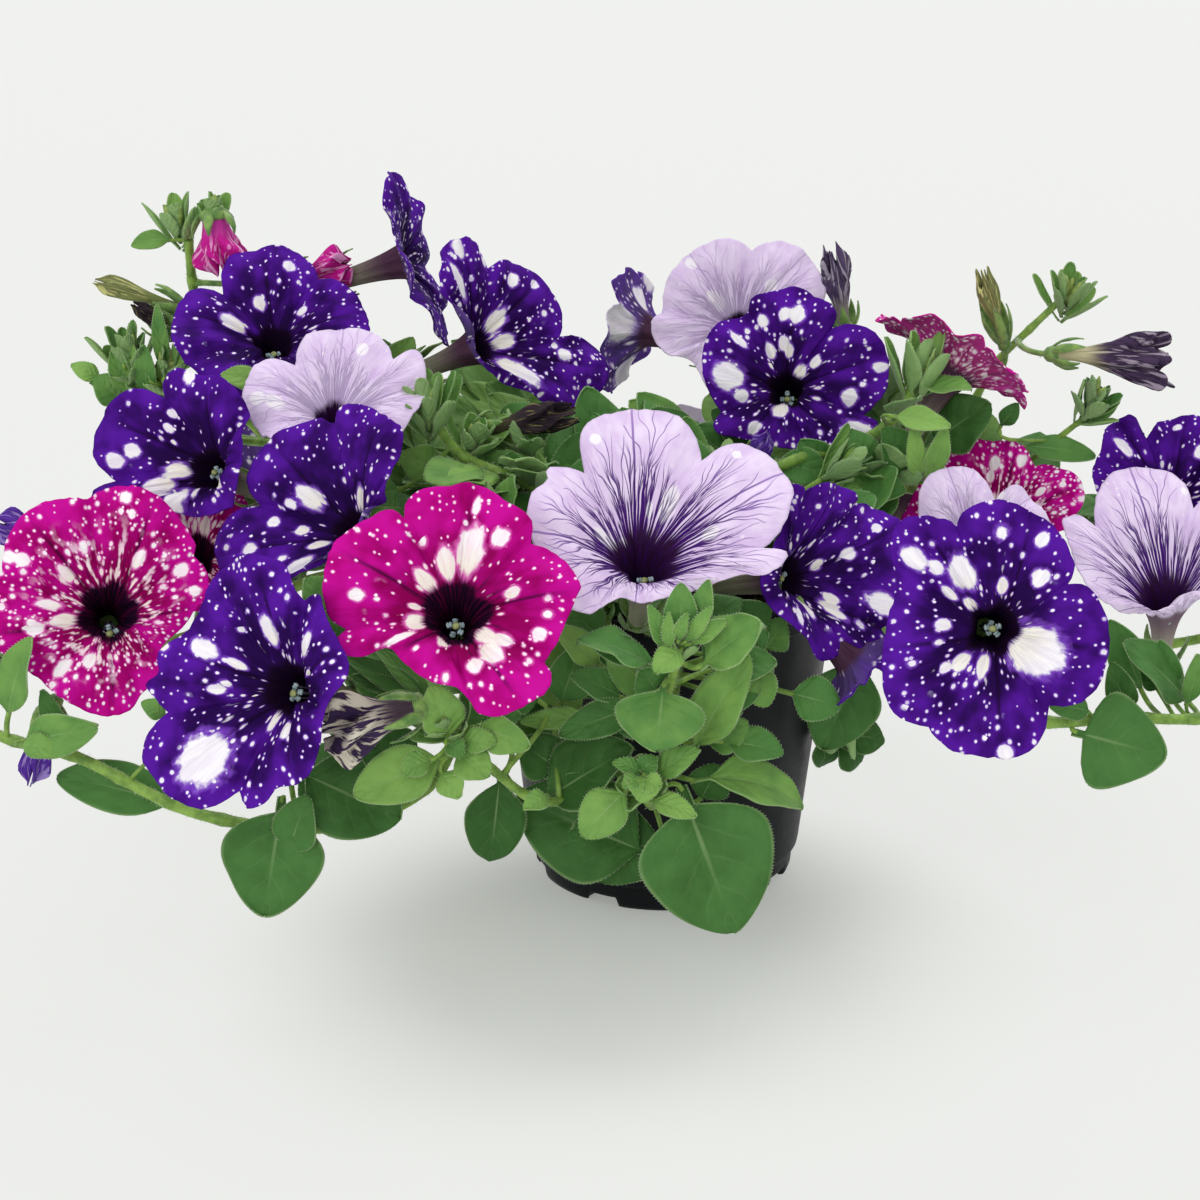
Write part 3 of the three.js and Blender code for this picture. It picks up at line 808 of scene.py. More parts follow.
class Stamp:
    """A small shape that is made once and copied many times."""

    def __init__(self, name: str, make: Callable[[bmesh.types.BMesh], object]) -> None:
        """Makes the shape.

        Args:
            name: The name of its mesh.
            make: Fills an empty mesh with the shape.
        """
        bm = bmesh.new()
        make(bm)
        bmesh.ops.remove_doubles(bm, verts=bm.verts, dist=1e-4)
        self.mesh = bpy.data.meshes.new(name)
        bm.to_mesh(self.mesh)
        bm.free()

    def add(self, bm: bmesh.types.BMesh, matrix: Matrix, material: int) -> None:
        """Sets one copy.

        Args:
            bm: The mesh that it is added to.
            matrix: Its place, turn and size.
            material: The number of its material.
        """
        self.mesh.polygons.foreach_set("material_index", [material] * len(self.mesh.polygons))
        self.mesh.transform(matrix)
        bm.from_mesh(self.mesh)
        self.mesh.transform(matrix.inverted())


class HairBrush:
    """Sets fine pale hairs on stems, sepals and the edges of leaves."""

    def __init__(self, radius: float = 0.07, seed: int = 5) -> None:
        """Makes the one hair that is copied, one unit long."""
        self.random = random.Random(seed)
        self.hair = Stamp("hair", lambda bm: bmesh.ops.create_cone(
            bm, cap_ends=True, cap_tris=True, segments=3, radius1=radius, radius2=0.0, depth=1.0))

    def add(self, bm: bmesh.types.BMesh, root: Vector, way: Vector, length: float, material: int) -> None:
        """Sets one hair.

        Args:
            bm: The mesh that it is added to.
            root: Where it grows.
            way: The direction in which it points.
            length: Its length.
            material: The number of its material.
        """
        lean = Vector([self.random.uniform(-0.35, 0.35) for _ in range(3)])
        along = (way.normalized() + lean).normalized()
        place = Matrix.Translation(root + along * (length * 0.45)) @ turn_to(along)
        self.hair.add(bm, place @ Matrix.Diagonal((1, 1, length, 1)), material)

    def along_rod(self, bm: bmesh.types.BMesh, path: list[Vector], radii: list[float], per_mm: float,
                  length: float, material: int) -> None:
        """Covers a rod with hairs.

        Args:
            bm: The mesh that they are added to.
            path: The rod's middle line.
            radii: Its radius at each point.
            per_mm: How many hairs stand on each millimetre of it.
            length: Their usual length.
            material: The number of their material.
        """
        for (a, b), radius in zip(zip(path, path[1:]), radii):
            along = b - a
            count = along.length * per_mm
            for _ in range(int(count) + (self.random.random() < count % 1)):
                spin = Quaternion(along.normalized(), self.random.uniform(0, math.tau))
                around = spin @ along.orthogonal().normalized()
                root = a + along * self.random.random() + around * radius * 0.95
                self.add(bm, root, around, length * self.random.uniform(0.6, 1.25), material)


BRUSH = HairBrush()
# The numbers of the materials of a piece with leaves; small buds count as stalks.
UPPER, UNDER, HAIRS, STALK = range(4)


@dataclass
class Blade:
    """One leaf or sepal: a stalk that widens to an egg-shaped blade."""

    base: Vector
    tip: Vector
    face: Vector
    width: float
    arch: float = 2.0
    stalk: float = 0.14
    cup: float = 0.12
    wave: float = 0.5
    shade: float = 0.5
    hairs: float = 0.0
    hair_length: float = 0.6
    fullness: float = 0.8
    blunt: float = 0.6
    twist: float = 0.0
    thickness: float = 0.4
    seed: float = 0.0
    columns: int = 8
    rows: int = 14

    def half_width(self, share: float) -> float:
        """Gives half the blade's width at a share of its length."""
        stalk = max(0.45, self.width * 0.035)
        if share <= self.stalk:
            return stalk
        along = (share - self.stalk) / (1 - self.stalk)
        power = 1.1 + (self.blunt - 1.1) * smooth(along, 0.0, 0.7)
        wide = self.width / 2 * math.sin(math.pi * min(1.0, along**self.fullness)) ** power
        return max(stalk * (1 - along) + 0.02, wide)

    def frame(self) -> tuple[Vector, Vector, Vector]:
        """Gives the directions along, across and out of the upper face."""
        along = (self.tip - self.base).normalized()
        across = along.cross(self.face).normalized()
        return along, across, across.cross(along).normalized()

    def point(self, across_share: float, share: float) -> Vector:
        """Finds a point of the blade.

        Args:
            across_share: From -1 at one edge to 1 at the other.
            share: From 0 at the base to 1 at the tip.

        Returns:
            The point.
        """
        along, across, up = self.frame()
        middle = self.base.lerp(self.tip, 0.5) + up * 2 * self.arch
        spine = self.base * (1 - share) ** 2 + middle * 2 * share * (1 - share) + self.tip * share**2
        roll = Quaternion(along, self.twist * share)
        across, up = roll @ across, roll @ up
        half = self.half_width(share)
        rough = noise.noise(Vector((share * 5, across_share * 2, self.seed)))
        ripple = math.sin(share * 11 + self.seed) * 0.6 + rough
        lift = self.cup * half * across_share**2 + self.wave * ripple * across_share**2
        groove = -0.05 * self.width * math.exp(-((across_share / 0.14) ** 2)) * smooth(share, 0.05, 0.3)
        return spine + across * (half * across_share) + up * (lift + groove * smooth(1 - share, 0.0, 0.4))

    def grow(self, bm: bmesh.types.BMesh) -> None:
        """Adds the blade to a mesh, with hairs on its edges if it has any."""
        shade = bm.verts.layers.float["shade"]
        leaf = bm.loops.layers.uv["leaf"]
        made = bmesh.ops.create_grid(bm, x_segments=self.columns, y_segments=self.rows, size=1.0)["verts"]
        places = {}
        for vert in made:
            places[vert] = (vert.co.x, 1 - ((1 - vert.co.y) / 2) ** 1.35)
        for vert, (across_share, share) in places.items():
            vert.co = self.point(across_share, share)
            vert[shade] = self.shade
        faces = list({face for vert in made for face in vert.link_faces})
        for face in faces:
            face.material_index = UPPER
            for loop in face.loops:
                across_share, share = places[loop.vert]
                loop[leaf].uv = (across_share * 0.5 + 0.5, share)
        for face in faces:
            face.normal_update()
        for vert in made:
            vert.normal_update()
        for item in bmesh.ops.solidify(bm, geom=faces, thickness=self.thickness)["geom"]:
            if isinstance(item, bmesh.types.BMFace):
                item.material_index = UNDER
        if self.hairs:
            self.set_hairs(bm)

    def set_hairs(self, bm: bmesh.types.BMesh) -> None:
        """Sets hairs along both edges of the blade."""
        _, across, up = self.frame()
        count = int((self.tip - self.base).length * self.hairs)
        for i in range(count):
            share = (i + 0.5) / count
            for side in (-1, 1):
                root = self.point(side, share)
                BRUSH.add(bm, root, across * side + up * 0.3, self.hair_length, HAIRS)


@dataclass
class Maker:
    """Turns finished meshes into pieces of the object."""

    count: int = 0

    def piece(self, bm: bmesh.types.BMesh, name: str, slot: str, materials: list, nodes: tuple[str, ...] = (),
              thickness: float = 0.0, backed: bool = False) -> bpy.types.Object:
        """Makes an object of a mesh in millimetres, hangs it on the root body and hides the CAD nodes that it
        stands for.

        Args:
            bm: The mesh, which is used up.
            name: The piece's name.
            slot: The record's material slot that it belongs to; it is not used.
            materials: Its materials, in the order of the mesh's material numbers.
            nodes: The CAD nodes that it stands for.
            thickness: The thickness that an open sheet gets, on the side away from its normals.
            backed: Whether the new side takes the material after the sheet's own.

        Returns:
            The object.
        """
        bmesh.ops.scale(bm, vec=(MM, MM, MM), verts=bm.verts)
        mesh = bpy.data.meshes.new(name)
        bm.to_mesh(mesh)
        bm.free()
        mesh.shade_smooth()
        for material in materials:
            mesh.materials.append(material)
        made = bpy.data.objects.new(name, mesh)
        bpy.context.scene.collection.objects.link(made)
        if thickness:
            wall = made.modifiers.new("wall", "SOLIDIFY")
            wall.thickness = thickness * MM
            wall.offset = -1.0
            wall.material_offset = 1 if backed else 0
            wall.material_offset_rim = 0
        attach(made, "root")
        if nodes:
            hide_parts(*nodes)
        self.count += 1
        LOG.info("%s: %d faces", name, len(mesh.polygons))
        return made


MAKER = Maker()


def leafy() -> bmesh.types.BMesh:
    """Starts a mesh that can hold blades."""
    bm = bmesh.new()
    bm.verts.layers.float.new("shade")
    bm.loops.layers.uv.new("leaf")
    return bm


# ---- Pot and soil --------------------------------------------------------------------------------


@dataclass
class Pot:
    """The moulded nursery pot: a tapered wall on a notched foot, with a rolled rim and a slotted floor."""

    foot: float = 39.3
    shoulder_height: float = 8.8
    shoulder: float = 41.3
    taper: float = 0.113
    rim_bottom: float = 88.0
    height: float = 96.4
    rim_out: float = 3.0
    floor_lift: float = 4.7
    pad: float = 11.0
    slots: int = 8
    slot_turn: float = 0.35
    slot_half_width: float = 5.5
    slot_near: float = 31.5
    slot_top: float = 4.2
    slot_edge: float = 3.9
    drain_near: float = 20.0
    drain_far: float = 31.0
    drain_half_width: float = 3.4
    wall: float = 1.4
    rounding: float = 0.25
    sides: int = 192

    def wall_radius(self, height: float) -> float:
        """Gives the wall's middle radius at a height."""
        return self.shoulder + (height - self.shoulder_height) * self.taper

    def profile(self) -> list[tuple[float, float]]:
        """Gives the middle line of the pot's wall, from the middle of the floor to the lip of the rim."""
        low, top, out = self.wall_radius(self.rim_bottom), self.wall_radius(self.height), self.rim_out
        foot, shoulder, pad, lift = self.foot, self.shoulder, self.pad, self.floor_lift
        return [
            (2.0, 0.7), (pad - 1.0, 0.7), (pad - 0.2, 1.1), (pad + 1.0, lift), (self.drain_near, lift),
            (26.0, lift), (self.drain_far, lift), (32.2, 1.1), (33.0, 0.7), (foot - 1.2, 0.7),
            (foot - 0.3, 1.0), (foot, 2.0), (foot + 0.2, 4.6), (foot + 0.4, 7.9), (shoulder - 0.6, 8.4),
            (shoulder, 9.2), (shoulder + 0.3, 11.0), (self.wall_radius(36), 36.0),
            (self.wall_radius(62), 62.0), (low - 0.2, self.rim_bottom - 1.2),
            (low + 0.2, self.rim_bottom - 0.2),
            (low + out - 0.6, self.rim_bottom + 0.2), (low + out, self.rim_bottom + 0.9),
            (top + out, self.height - 1.6), (top + out - 0.5, self.height - 0.5),
            (top + out - 1.4, self.height), (top + 0.6, self.height), (top - 0.2, self.height - 0.6),
            (top - 0.4, self.height - 2.0),
        ]

    def off_spoke(self, place: Vector, turn: float = 0.0) -> float:
        """Gives how far a place lies beside the nearest of the spokes on which the slots stand.

        Args:
            place: The place.
            turn: The angle by which the spokes are turned.

        Returns:
            The distance, measured round the pot.
        """
        step = math.tau / self.slots
        angle = math.atan2(place.y, place.x) - turn * step
        return abs((angle + step / 2) % step - step / 2) * place.xy.length

    def build(self) -> None:
        """Makes the pot."""
        bm = bmesh.new()
        lathe(bm, self.profile(), self.sides)
        middle = [edge for edge in bm.edges if edge.is_boundary and edge.verts[0].co.xy.length < self.pad / 2]
        bmesh.ops.contextual_create(bm, geom=middle)
        for vert in bm.verts:
            in_foot = vert.co.xy.length > self.slot_near and vert.co.z < self.slot_edge
            if in_foot and self.off_spoke(vert.co, self.slot_turn) < self.slot_half_width:
                vert.co.z = self.slot_top if vert.co.xy.length < self.foot - 0.5 else self.slot_edge
        drains = []
        for face in bm.faces:
            place = face.calc_center_median()
            in_floor = self.drain_near < place.xy.length < self.drain_far and place.z > self.slot_edge
            if in_floor and self.off_spoke(place) < self.drain_half_width:
                drains.append(face)
        bmesh.ops.delete(bm, geom=drains, context="FACES")
        bmesh.ops.remove_doubles(bm, verts=bm.verts, dist=0.001)
        bmesh.ops.recalc_face_normals(bm, faces=bm.faces)
        outer = max(bm.faces, key=lambda face: face.calc_center_median().xy.length)
        if outer.normal.dot(outer.calc_center_median()) < 0:
            bmesh.ops.reverse_faces(bm, faces=bm.faces)
        piece = MAKER.piece(bm, "nursery_pot", "pot_plastic", dress(PLASTIC), ("pot",), thickness=self.wall)
        piece.modifiers["wall"].offset = 0.0
        round_off = piece.modifiers.new("round", "BEVEL")
        round_off.width = self.rounding * MM
        round_off.segments = 2
        round_off.limit_method = "ANGLE"
        round_off.angle_limit = math.radians(50)


@dataclass
class Soil:
    """The peat mix in the pot, with loose crumbs and white perlite grains on top."""

    top: float = 85.0
    radius: float = 47.6
    crumbs: int = 420
    grains: int = 70
    spread: float = 45.0
    sides: int = 64

    def build(self) -> None:
        """Makes the block of mix, the crumbs and the perlite."""
        bm = bmesh.new()
        profile = [(0.01, self.top), (12, self.top), (24, self.top), (36, self.top), (44, self.top - 0.4),
                   (self.radius, self.top - 2.0), (46.8, 70), (43.6, 40), (40.2, 12), (37.4, 6.4),
                   (0.01, 6.4)]
        lathe(bm, profile, self.sides)
        bmesh.ops.remove_doubles(bm, verts=bm.verts, dist=0.1)
        tops = [edge for edge in bm.edges if min(v.co.z for v in edge.verts) > self.top - 1]
        bmesh.ops.subdivide_edges(bm, edges=tops, cuts=2, use_grid_fill=True)
        for vert in bm.verts:
            if vert.co.z > self.top - 1:
                vert.co.z += noise.fractal(vert.co * 0.22, 0.8, 2.2, 4) * 1.6 - 0.8
        bmesh.ops.recalc_face_normals(bm, faces=bm.faces)
        MAKER.piece(bm, "potting_mix", "potting_mix", dress(PEAT), ("soil",))
        self.scatter("peat_crumbs", self.crumbs, 0.5, 1.5, PEAT, 21)
        self.scatter("perlite_grains", self.grains, 0.8, 1.7, PERLITE, 22)

    def scatter(self, name: str, count: int, small: float, large: float, finish: MottledFinish,
                seed: int) -> None:
        """Strews lumps over the top of the mix.

        Args:
            name: The name of the piece that holds them.
            count: How many there are.
            small: The smallest radius.
            large: The largest radius.
            finish: Their finish.
            seed: The seed of their places.
        """
        chance = random.Random(seed)
        stamp = Stamp("lump", lambda lump: bmesh.ops.create_icosphere(lump, subdivisions=1, radius=1.0))
        for vert in stamp.mesh.vertices:
            vert.co *= chance.uniform(0.75, 1.2)
        bm = bmesh.new()
        for _ in range(count):
            far, angle = self.spread * math.sqrt(chance.random()), chance.uniform(0, math.tau)
            size = chance.uniform(small, large)
            place = Vector((far * math.cos(angle), far * math.sin(angle), self.top - 0.2 + size * 0.3))
            pivot = (chance.random(), chance.random(), chance.random())
            turn = Quaternion(pivot, chance.uniform(0, 6)).to_matrix().to_4x4()
            long, high = size * chance.uniform(0.6, 1), size * chance.uniform(0.5, 0.9)
            stamp.add(bm, Matrix.Translation(place) @ turn @ Matrix.Diagonal((size, long, high, 1)), 0)
        MAKER.piece(bm, name, "potting_mix", dress(finish))


# ---- Stems ---------------------------------------------------------------------------------------

STEMS = {
    "stem_front": [(0, -12, 87), (3, -30, 104), (3, -58, 104), (0, -76, 82), (-5, -86, 56), (-9, -97, 67)],
    "stem_front_shoot": [(0, -83, 84), (-2, -92, 90), (0, -98, 101), (1, -101, 110)],
    "stem_front_left": [(-12, -87, 56), (-28, -92, 59), (-38, -96, 62), (-48, -101, 72), (-58, -107, 85)],
    "stem_left_trailing": [(-8, -8, 87), (-26, -26, 105), (-43, -42, 105), (-56, -58, 82), (-67, -76, 58),
                           (-94, -90, 51), (-129, -93, 56), (-163, -90, 72), (-183, -88, 77),
                           (-200, -85, 87)],
    "stem_left": [(-12, -2, 87), (-30, -8, 107), (-70, -14, 106), (-110, -18, 96), (-140, -20, 82),
                  (-168, -26, 76), (-192, -38, 84)],
    "stem_back_left": [(-11, 4, 87), (-28, 20, 106), (-58, 40, 108), (-92, 58, 106), (-124, 74, 112),
                       (-144, 74, 135), (-149, 66, 165), (-149, 60, 184)],
    "stem_middle": [(-4, -1, 87), (-20, -3, 112), (-45, -1, 124), (-62, 0, 132), (-71, 0, 146)],
    "stem_back": [(-4, 11, 87), (-14, 30, 110), (-34, 54, 118), (-54, 76, 120), (-76, 96, 112)],
    "stem_back_right": [(7, 10, 87), (16, 30, 108), (24, 58, 112), (34, 88, 110), (46, 118, 102)],
    "stem_right_top": [(4, 1, 87), (18, 12, 114), (40, 20, 124), (60, 26, 128), (74, 30, 138),
                       (77, 30, 150)],
    "stem_upper_right": [(106, 82, 97), (102, 84, 118), (110, 84, 138), (121, 80, 152), (131, 78, 163)],
    "stem_right_rear": [(11, 6, 87), (28, 18, 108), (50, 34, 112), (80, 56, 104), (108, 76, 92),
                        (138, 92, 80), (166, 98, 74)],
    "stem_right": [(12, 0, 87), (34, 4, 104), (60, 14, 101), (84, 32, 82), (104, 42, 66), (130, 38, 58),
                   (156, 34, 58), (182, 28, 66), (200, 20, 80)],
    "stem_right_front": [(9, -8, 87), (22, -20, 106), (42, -38, 106), (62, -54, 94), (84, -62, 79),
                         (105, -60, 70), (128, -55, 69), (155, -50, 67), (180, -44, 71), (198, -38, 82)],
    "stem_rear_left": [(-9, 8, 87), (-22, 34, 106), (-44, 62, 102), (-66, 92, 84), (-84, 118, 66),
                       (-98, 138, 62)],
    "stem_rear_right": [(2, 12, 87), (6, 36, 107), (12, 66, 103), (24, 98, 82), (34, 124, 62),
                        (44, 142, 56)],
}
SHOOTS = ("stem_front_shoot", "stem_front_left", "stem_upper_right")
SIDE_SHOOTS = {
    "shoot_crown_a": [(-10, 6, 88), (-30, 14, 112), (-44, 14, 130)],
    "shoot_crown_b": [(-4, 8, 88), (-12, 22, 110), (-14, 26, 119)],
    "shoot_crown_c": [(6, 6, 88), (14, 16, 108), (18, 24, 117)],
    "shoot_crown_d": [(10, 4, 88), (34, 12, 110), (52, 10, 124)],
    "shoot_crown_e": [(-8, 0, 88), (-36, -14, 108), (-52, -26, 120)],
    "shoot_crown_f": [(-12, 4, 88), (-60, 20, 108), (-76, 24, 128)],
    "shoot_crown_g": [(8, -6, 88), (20, -24, 106), (26, -38, 112)],
    "shoot_crown_h": [(12, 2, 88), (54, 24, 108), (74, 20, 120)],
    "shoot_crown_i": [(-2, -10, 88), (-14, -34, 104), (-18, -52, 104)],
    "shoot_crown_j": [(0, 12, 88), (-40, 60, 108), (-48, 72, 116)],
    "shoot_crown_k": [(10, 10, 88), (60, 60, 112), (72, 66, 130)],
    "shoot_crown_l": [(-10, 10, 88), (-90, 58, 112), (-104, 58, 136)],
    "shoot_crown_m": [(4, 12, 88), (8, 60, 106), (6, 76, 110)],
    "shoot_rear_a": [(-4, 12, 88), (-28, 50, 94), (-40, 66, 70)],
    "shoot_rear_b": [(6, 12, 88), (38, 54, 94), (50, 68, 66)],
    "shoot_rear_c": [(0, 14, 88), (2, 54, 92), (-6, 66, 58)],
    "shoot_left_upper": [(-126, 73, 114), (-152, 48, 128), (-164, 31, 147)],
    "shoot_left_upper_side": [(-126, 73, 114), (-146, 46, 126), (-153, 29, 144)],
    "shoot_right_side": [(108, 76, 93), (121, 64, 112), (135, 51, 130)],
    "shoot_right_low": [(10, -2, 88), (34, -3, 106), (57, -7, 99), (61, -11, 76), (54, -13, 52)],
}
STEM_LINES = {name: spline(points, 61) for name, points in (STEMS | SIDE_SHOOTS).items()}


@dataclass
class Stem:
    """A hairy green stem that thins towards its tip and swells a little at each leaf."""

    name: str
    radius: float = 2.0
    shoot_radius: float = 1.5
    tip_share: float = 0.72
    swelling: float = 0.22
    joint_step: float = 15.0
    step: float = 2.0
    sides: int = 12
    hairs: float = 4.5
    hair_length: float = 1.0

    def build(self) -> None:
        """Makes the stem."""
        line = STEM_LINES[self.name]
        length = sum((b - a).length for a, b in zip(line, line[1:]))
        count = max(6, int(length / self.step))
        path = spline(STEMS[self.name], count)
        thick = self.shoot_radius if self.name in SHOOTS else self.radius
        radii = []
        for i in range(count):
            share = i / (count - 1)
            joint = abs((share * length / self.joint_step + 0.5) % 1 - 0.5)
            swell = 1 + self.swelling * math.exp(-((joint / 0.12) ** 2))
            radii.append(thick * (1 - (1 - self.tip_share) * share) * swell)
        bm = bmesh.new()
        sweep(bm, path, radii, self.sides)
        BRUSH.along_rod(bm, path, radii, self.hairs, self.hair_length, 1)
        MAKER.piece(bm, f"{self.name}_hairy", "stem_green", dress(STEM_GREEN, HAIR_WHITE), (self.name,))


# ---- Open flowers --------------------------------------------------------------------------------

Lobe = tuple[Pixel, ...]
THROAT_RADII = {FlowerKind.PURPLE: 5.6, FlowerKind.MAGENTA: 7.6, FlowerKind.LAVENDER: 6.0}


@dataclass
class Flower:
    """An open flower: one fused funnel with five lobes, its stamens, its calyx and its stalk.

    The rim of a flower that shows well is given lobe by lobe, clockwise, as pixels of the photograph. The
    first pixel of each lobe is the notch before it.
    """

    name: str
    kind: FlowerKind
    throat: Point
    facing: Point
    radius: float
    rise: float
    stem: str
    rim: tuple[Lobe, ...] = ()
    blotches: tuple[tuple[float, float, float, float], ...] = ()
    fleck: float = 1.0
    turn: float = 18.0
    stamen_drop: float = 2.0
    ruffle: float = 2.2
    solid: bool = True
    tube_length: float = 30.0
    tube_radius: float = 2.6
    sepal: float = 14.0
    petal: float = 0.35
    lobe_columns: int = 28
    tube_rows: int = 10
    limb_rows: int = 30

    def __post_init__(self) -> None:
        """Works out the flower's own axes and the seed of its shape."""
        self.axis = Vector(self.facing).normalized()
        self.right = UP.cross(self.axis).normalized()
        self.up = self.axis.cross(self.right)
        self.centre = Vector(self.throat)
        self.seed = float(sum(ord(letter) * (i + 3) for i, letter in enumerate(self.name)) % 997)
        self.calyx = self.centre - self.axis * self.tube_length
        self.throat_size = THROAT_RADII[self.kind] * min(1.15, max(0.8, self.radius / 30))

    def to_world(self, x: float, y: float, height: float) -> Vector:
        """Turns a place on the flower into one in the frame of the part."""
        return self.centre + self.right * x + self.up * y + self.axis * height

    def from_pixel(self, pixel: Pixel) -> Vector:
        """Finds the place on the flower's bowl that a pixel shows.

        Args:
            pixel: The pixel.

        Returns:
            X and Y on the flower, and the height over the throat.
        """
        height = self.rise
        ray = CAMERA.ray(pixel)
        start = Vector(CAMERA.place) - self.centre
        for _ in range(4):
            share = (height - start.dot(self.axis)) / ray.dot(self.axis)
            place = start + ray * share
            x, y = place.dot(self.right), place.dot(self.up)
            height = self.rise * min(1.25, math.hypot(x, y) / self.radius)
        return Vector((x, y, height))

    def rim_line(self) -> list[tuple[float, Vector]]:
        """Gives the rim, anticlockwise, as the number of the lobe and a place on the flower."""
        columns = []
        if self.rim:
            lobes = [list(lobe) + [self.rim[(i + 1) % len(self.rim)][0]] for i, lobe in enumerate(self.rim)]
            for number, lobe in enumerate(reversed(lobes)):
                places = [self.from_pixel(pixel) for pixel in reversed(lobe)]
                samples = spline(places, self.lobe_columns + 1)[:-1]
                columns += [(number + i / self.lobe_columns, place) for i, place in enumerate(samples)]
            return columns
        chance = random.Random(self.seed)
        lengths = [chance.uniform(0.92, 1.08) for _ in range(LOBES)]
        for number in range(LOBES):
            for i in range(self.lobe_columns):
                share = i / self.lobe_columns
                off = abs(2 * share - 1)
                neighbour = number - 1 if share < 0.5 else (number + 1) % LOBES
                mixed = smooth(off, 0.5, 1.0) * 0.5
                length = lengths[number] * (1 - mixed) + lengths[neighbour] * mixed
                far = self.radius * length * (1 - 0.15 * off**4 - 0.03 * math.exp(-((off / 0.12) ** 2)))
                angle = math.radians(self.turn + 360 / LOBES * (number + share))
                lift = self.rise * (1 + 0.25 * math.sin(2 * angle + self.seed))
                columns.append((number + share, Vector((far * math.cos(angle), far * math.sin(angle), lift))))
        return columns

    def shape(self) -> tuple[bmesh.types.BMesh, dict]:
        """Bends a flat disc into the funnel.

        Returns:
            The mesh, and for each corner its place on the flower, its lobe and its share of the way out.
        """
        rim = self.rim_line()
        count = len(rim)
        turns = [math.atan2(place.y, place.x) - math.tau * lobe / LOBES for lobe, place in rim]
        first = math.atan2(sum(math.sin(t) for t in turns), sum(math.cos(t) for t in turns))
        bm = bmesh.new()
        for name in ("blotch", "fleck"):
            bm.verts.layers.float.new(name)
        for name in ("petal", "lobe"):
            bm.loops.layers.uv.new(name)
        disc(bm, self.tube_rows + self.limb_rows, count, upwards=True)
        places = {}
        for vert in bm.verts:
            row = round(vert.co.xy.length) - 1
            column = round(math.atan2(vert.co.y, vert.co.x) / math.tau * count) % count
            lobe, edge = rim[column]
            angle = first + math.tau * lobe / LOBES
            if row < self.tube_rows:
                share = row / self.tube_rows - 1
                far = self.tube_radius + (self.throat_size - self.tube_radius) * (1 + share) ** 3.2
                pleat = 1 + (self.pleat(angle) - 1) * (1 + share)
                place = Vector((far * pleat * math.cos(angle), far * pleat * math.sin(angle),
                                share * self.tube_length))
            else:
                share = (row - self.tube_rows) / self.limb_rows
                place = self.limb(share, lobe, angle, edge)
            places[vert] = (place, lobe, share)
            vert.co = self.to_world(*place)
        return bm, places

    def pleat(self, angle: float) -> float:
        """Gives how much wider or narrower than a circle the throat is at an angle."""
        spot = Vector((math.cos(angle), math.sin(angle), self.seed))
        return 1 + 0.09 * math.cos(LOBES * angle + self.seed) + 0.22 * noise.noise(spot * 2.2)

    def limb(self, share: float, lobe: float, angle: float, edge: Vector) -> Vector:
        """Finds a place on the spread part of the funnel.

        Args:
            share: From 0 at the throat to 1 at the rim.
            lobe: The number of the lobe, with the way across it after the point.
            angle: The angle at the throat.
            edge: The rim's place on the same line out.

        Returns:
            The place on the flower.
        """
        size = self.throat_size * self.pleat(angle)
        ring = Vector((size * math.cos(angle), size * math.sin(angle), 0))
        place = ring.lerp(edge, share)
        off = abs(lobe % 1 - 0.5) * 2
        place.z = edge.z * (1 - (1 - share) ** 1.7)
        swell = math.sin(math.pi * min(1.0, share * 1.05)) * (1 - off**2) * 1.7
        crease = math.exp(-((off / 0.08) ** 2)) * math.sin(math.pi * min(1.0, 0.1 + share * 0.85)) * 1.1
        joint = math.exp(-(((1 - off) / 0.1) ** 2)) * smooth(share, 0.1, 0.5) * 1.3
        spot = Vector((math.cos(angle) * 1.7, math.sin(angle) * 1.7, self.seed + share * 0.8))
        ripple = noise.noise(spot * 1.6) * 1.2 + math.sin(lobe * math.tau * 2 + self.seed) * 0.4
        tight = Vector((math.cos(angle) * 7, math.sin(angle) * 7, self.seed + share * 1.5))
        pucker = noise.noise(tight) * 0.9 * smooth(share, 0.05, 0.5)
        fray = noise.noise(spot * 9) * smooth(share, 0.75, 1.0)
        place.z += swell - crease - joint + self.ruffle * share**2 * ripple + pucker
        place.x *= 1 + 0.018 * fray
        place.y *= 1 + 0.018 * fray
        return place

    def paint(self, bm: bmesh.types.BMesh, places: dict) -> None:
        """Writes the petal's coordinates, its blotches and the size of its specks on the mesh."""
        petal = bm.loops.layers.uv["petal"]
        blotch, fleck = bm.verts.layers.float["blotch"], bm.verts.layers.float["fleck"]
        verts = list(bm.verts)
        local = np.array([places[vert][0] for vert in verts])
        value = np.full(len(verts), -1.0)
        for u, v, long, wide in self.blotches:
            ray = np.array(CAMERA.ray((u, v)).normalized())
            offset = np.array([vert.co for vert in verts]) - np.array(CAMERA.place)
            gap = np.linalg.norm(offset - (offset @ ray)[:, None] * ray, axis=1) + (local[:, 2] < -2) * 50
            middle = local[int(gap.argmin())][:2]
            out = middle / max(1e-6, np.linalg.norm(middle))
            apart = local[:, :2] - middle
            far = np.hypot(apart @ out / (long / 2), apart @ np.array([-out[1], out[0]]) / (wide / 2))
            value = np.maximum(value, np.where(local[:, 2] < -2, -1.0, 1.0 - far))
        stretch = 11.0
        flat = {}
        for vert, place, amount in zip(verts, local, value):
            vert[blotch] = float(max(-1.0, amount))
            vert[fleck] = self.fleck
            far = max(0.5, math.hypot(place[0], place[1]))
            grow = math.sqrt(far * far + stretch * stretch) / far / 10
            flat[vert] = (place[0] * grow + self.seed * 1.37, place[1] * grow + self.seed * 0.71)
        for face in bm.faces:
            for loop in face.loops:
                loop[petal].uv = flat[loop.vert]
        write_lobes(bm, {vert: place[1:] for vert, place in places.items()})

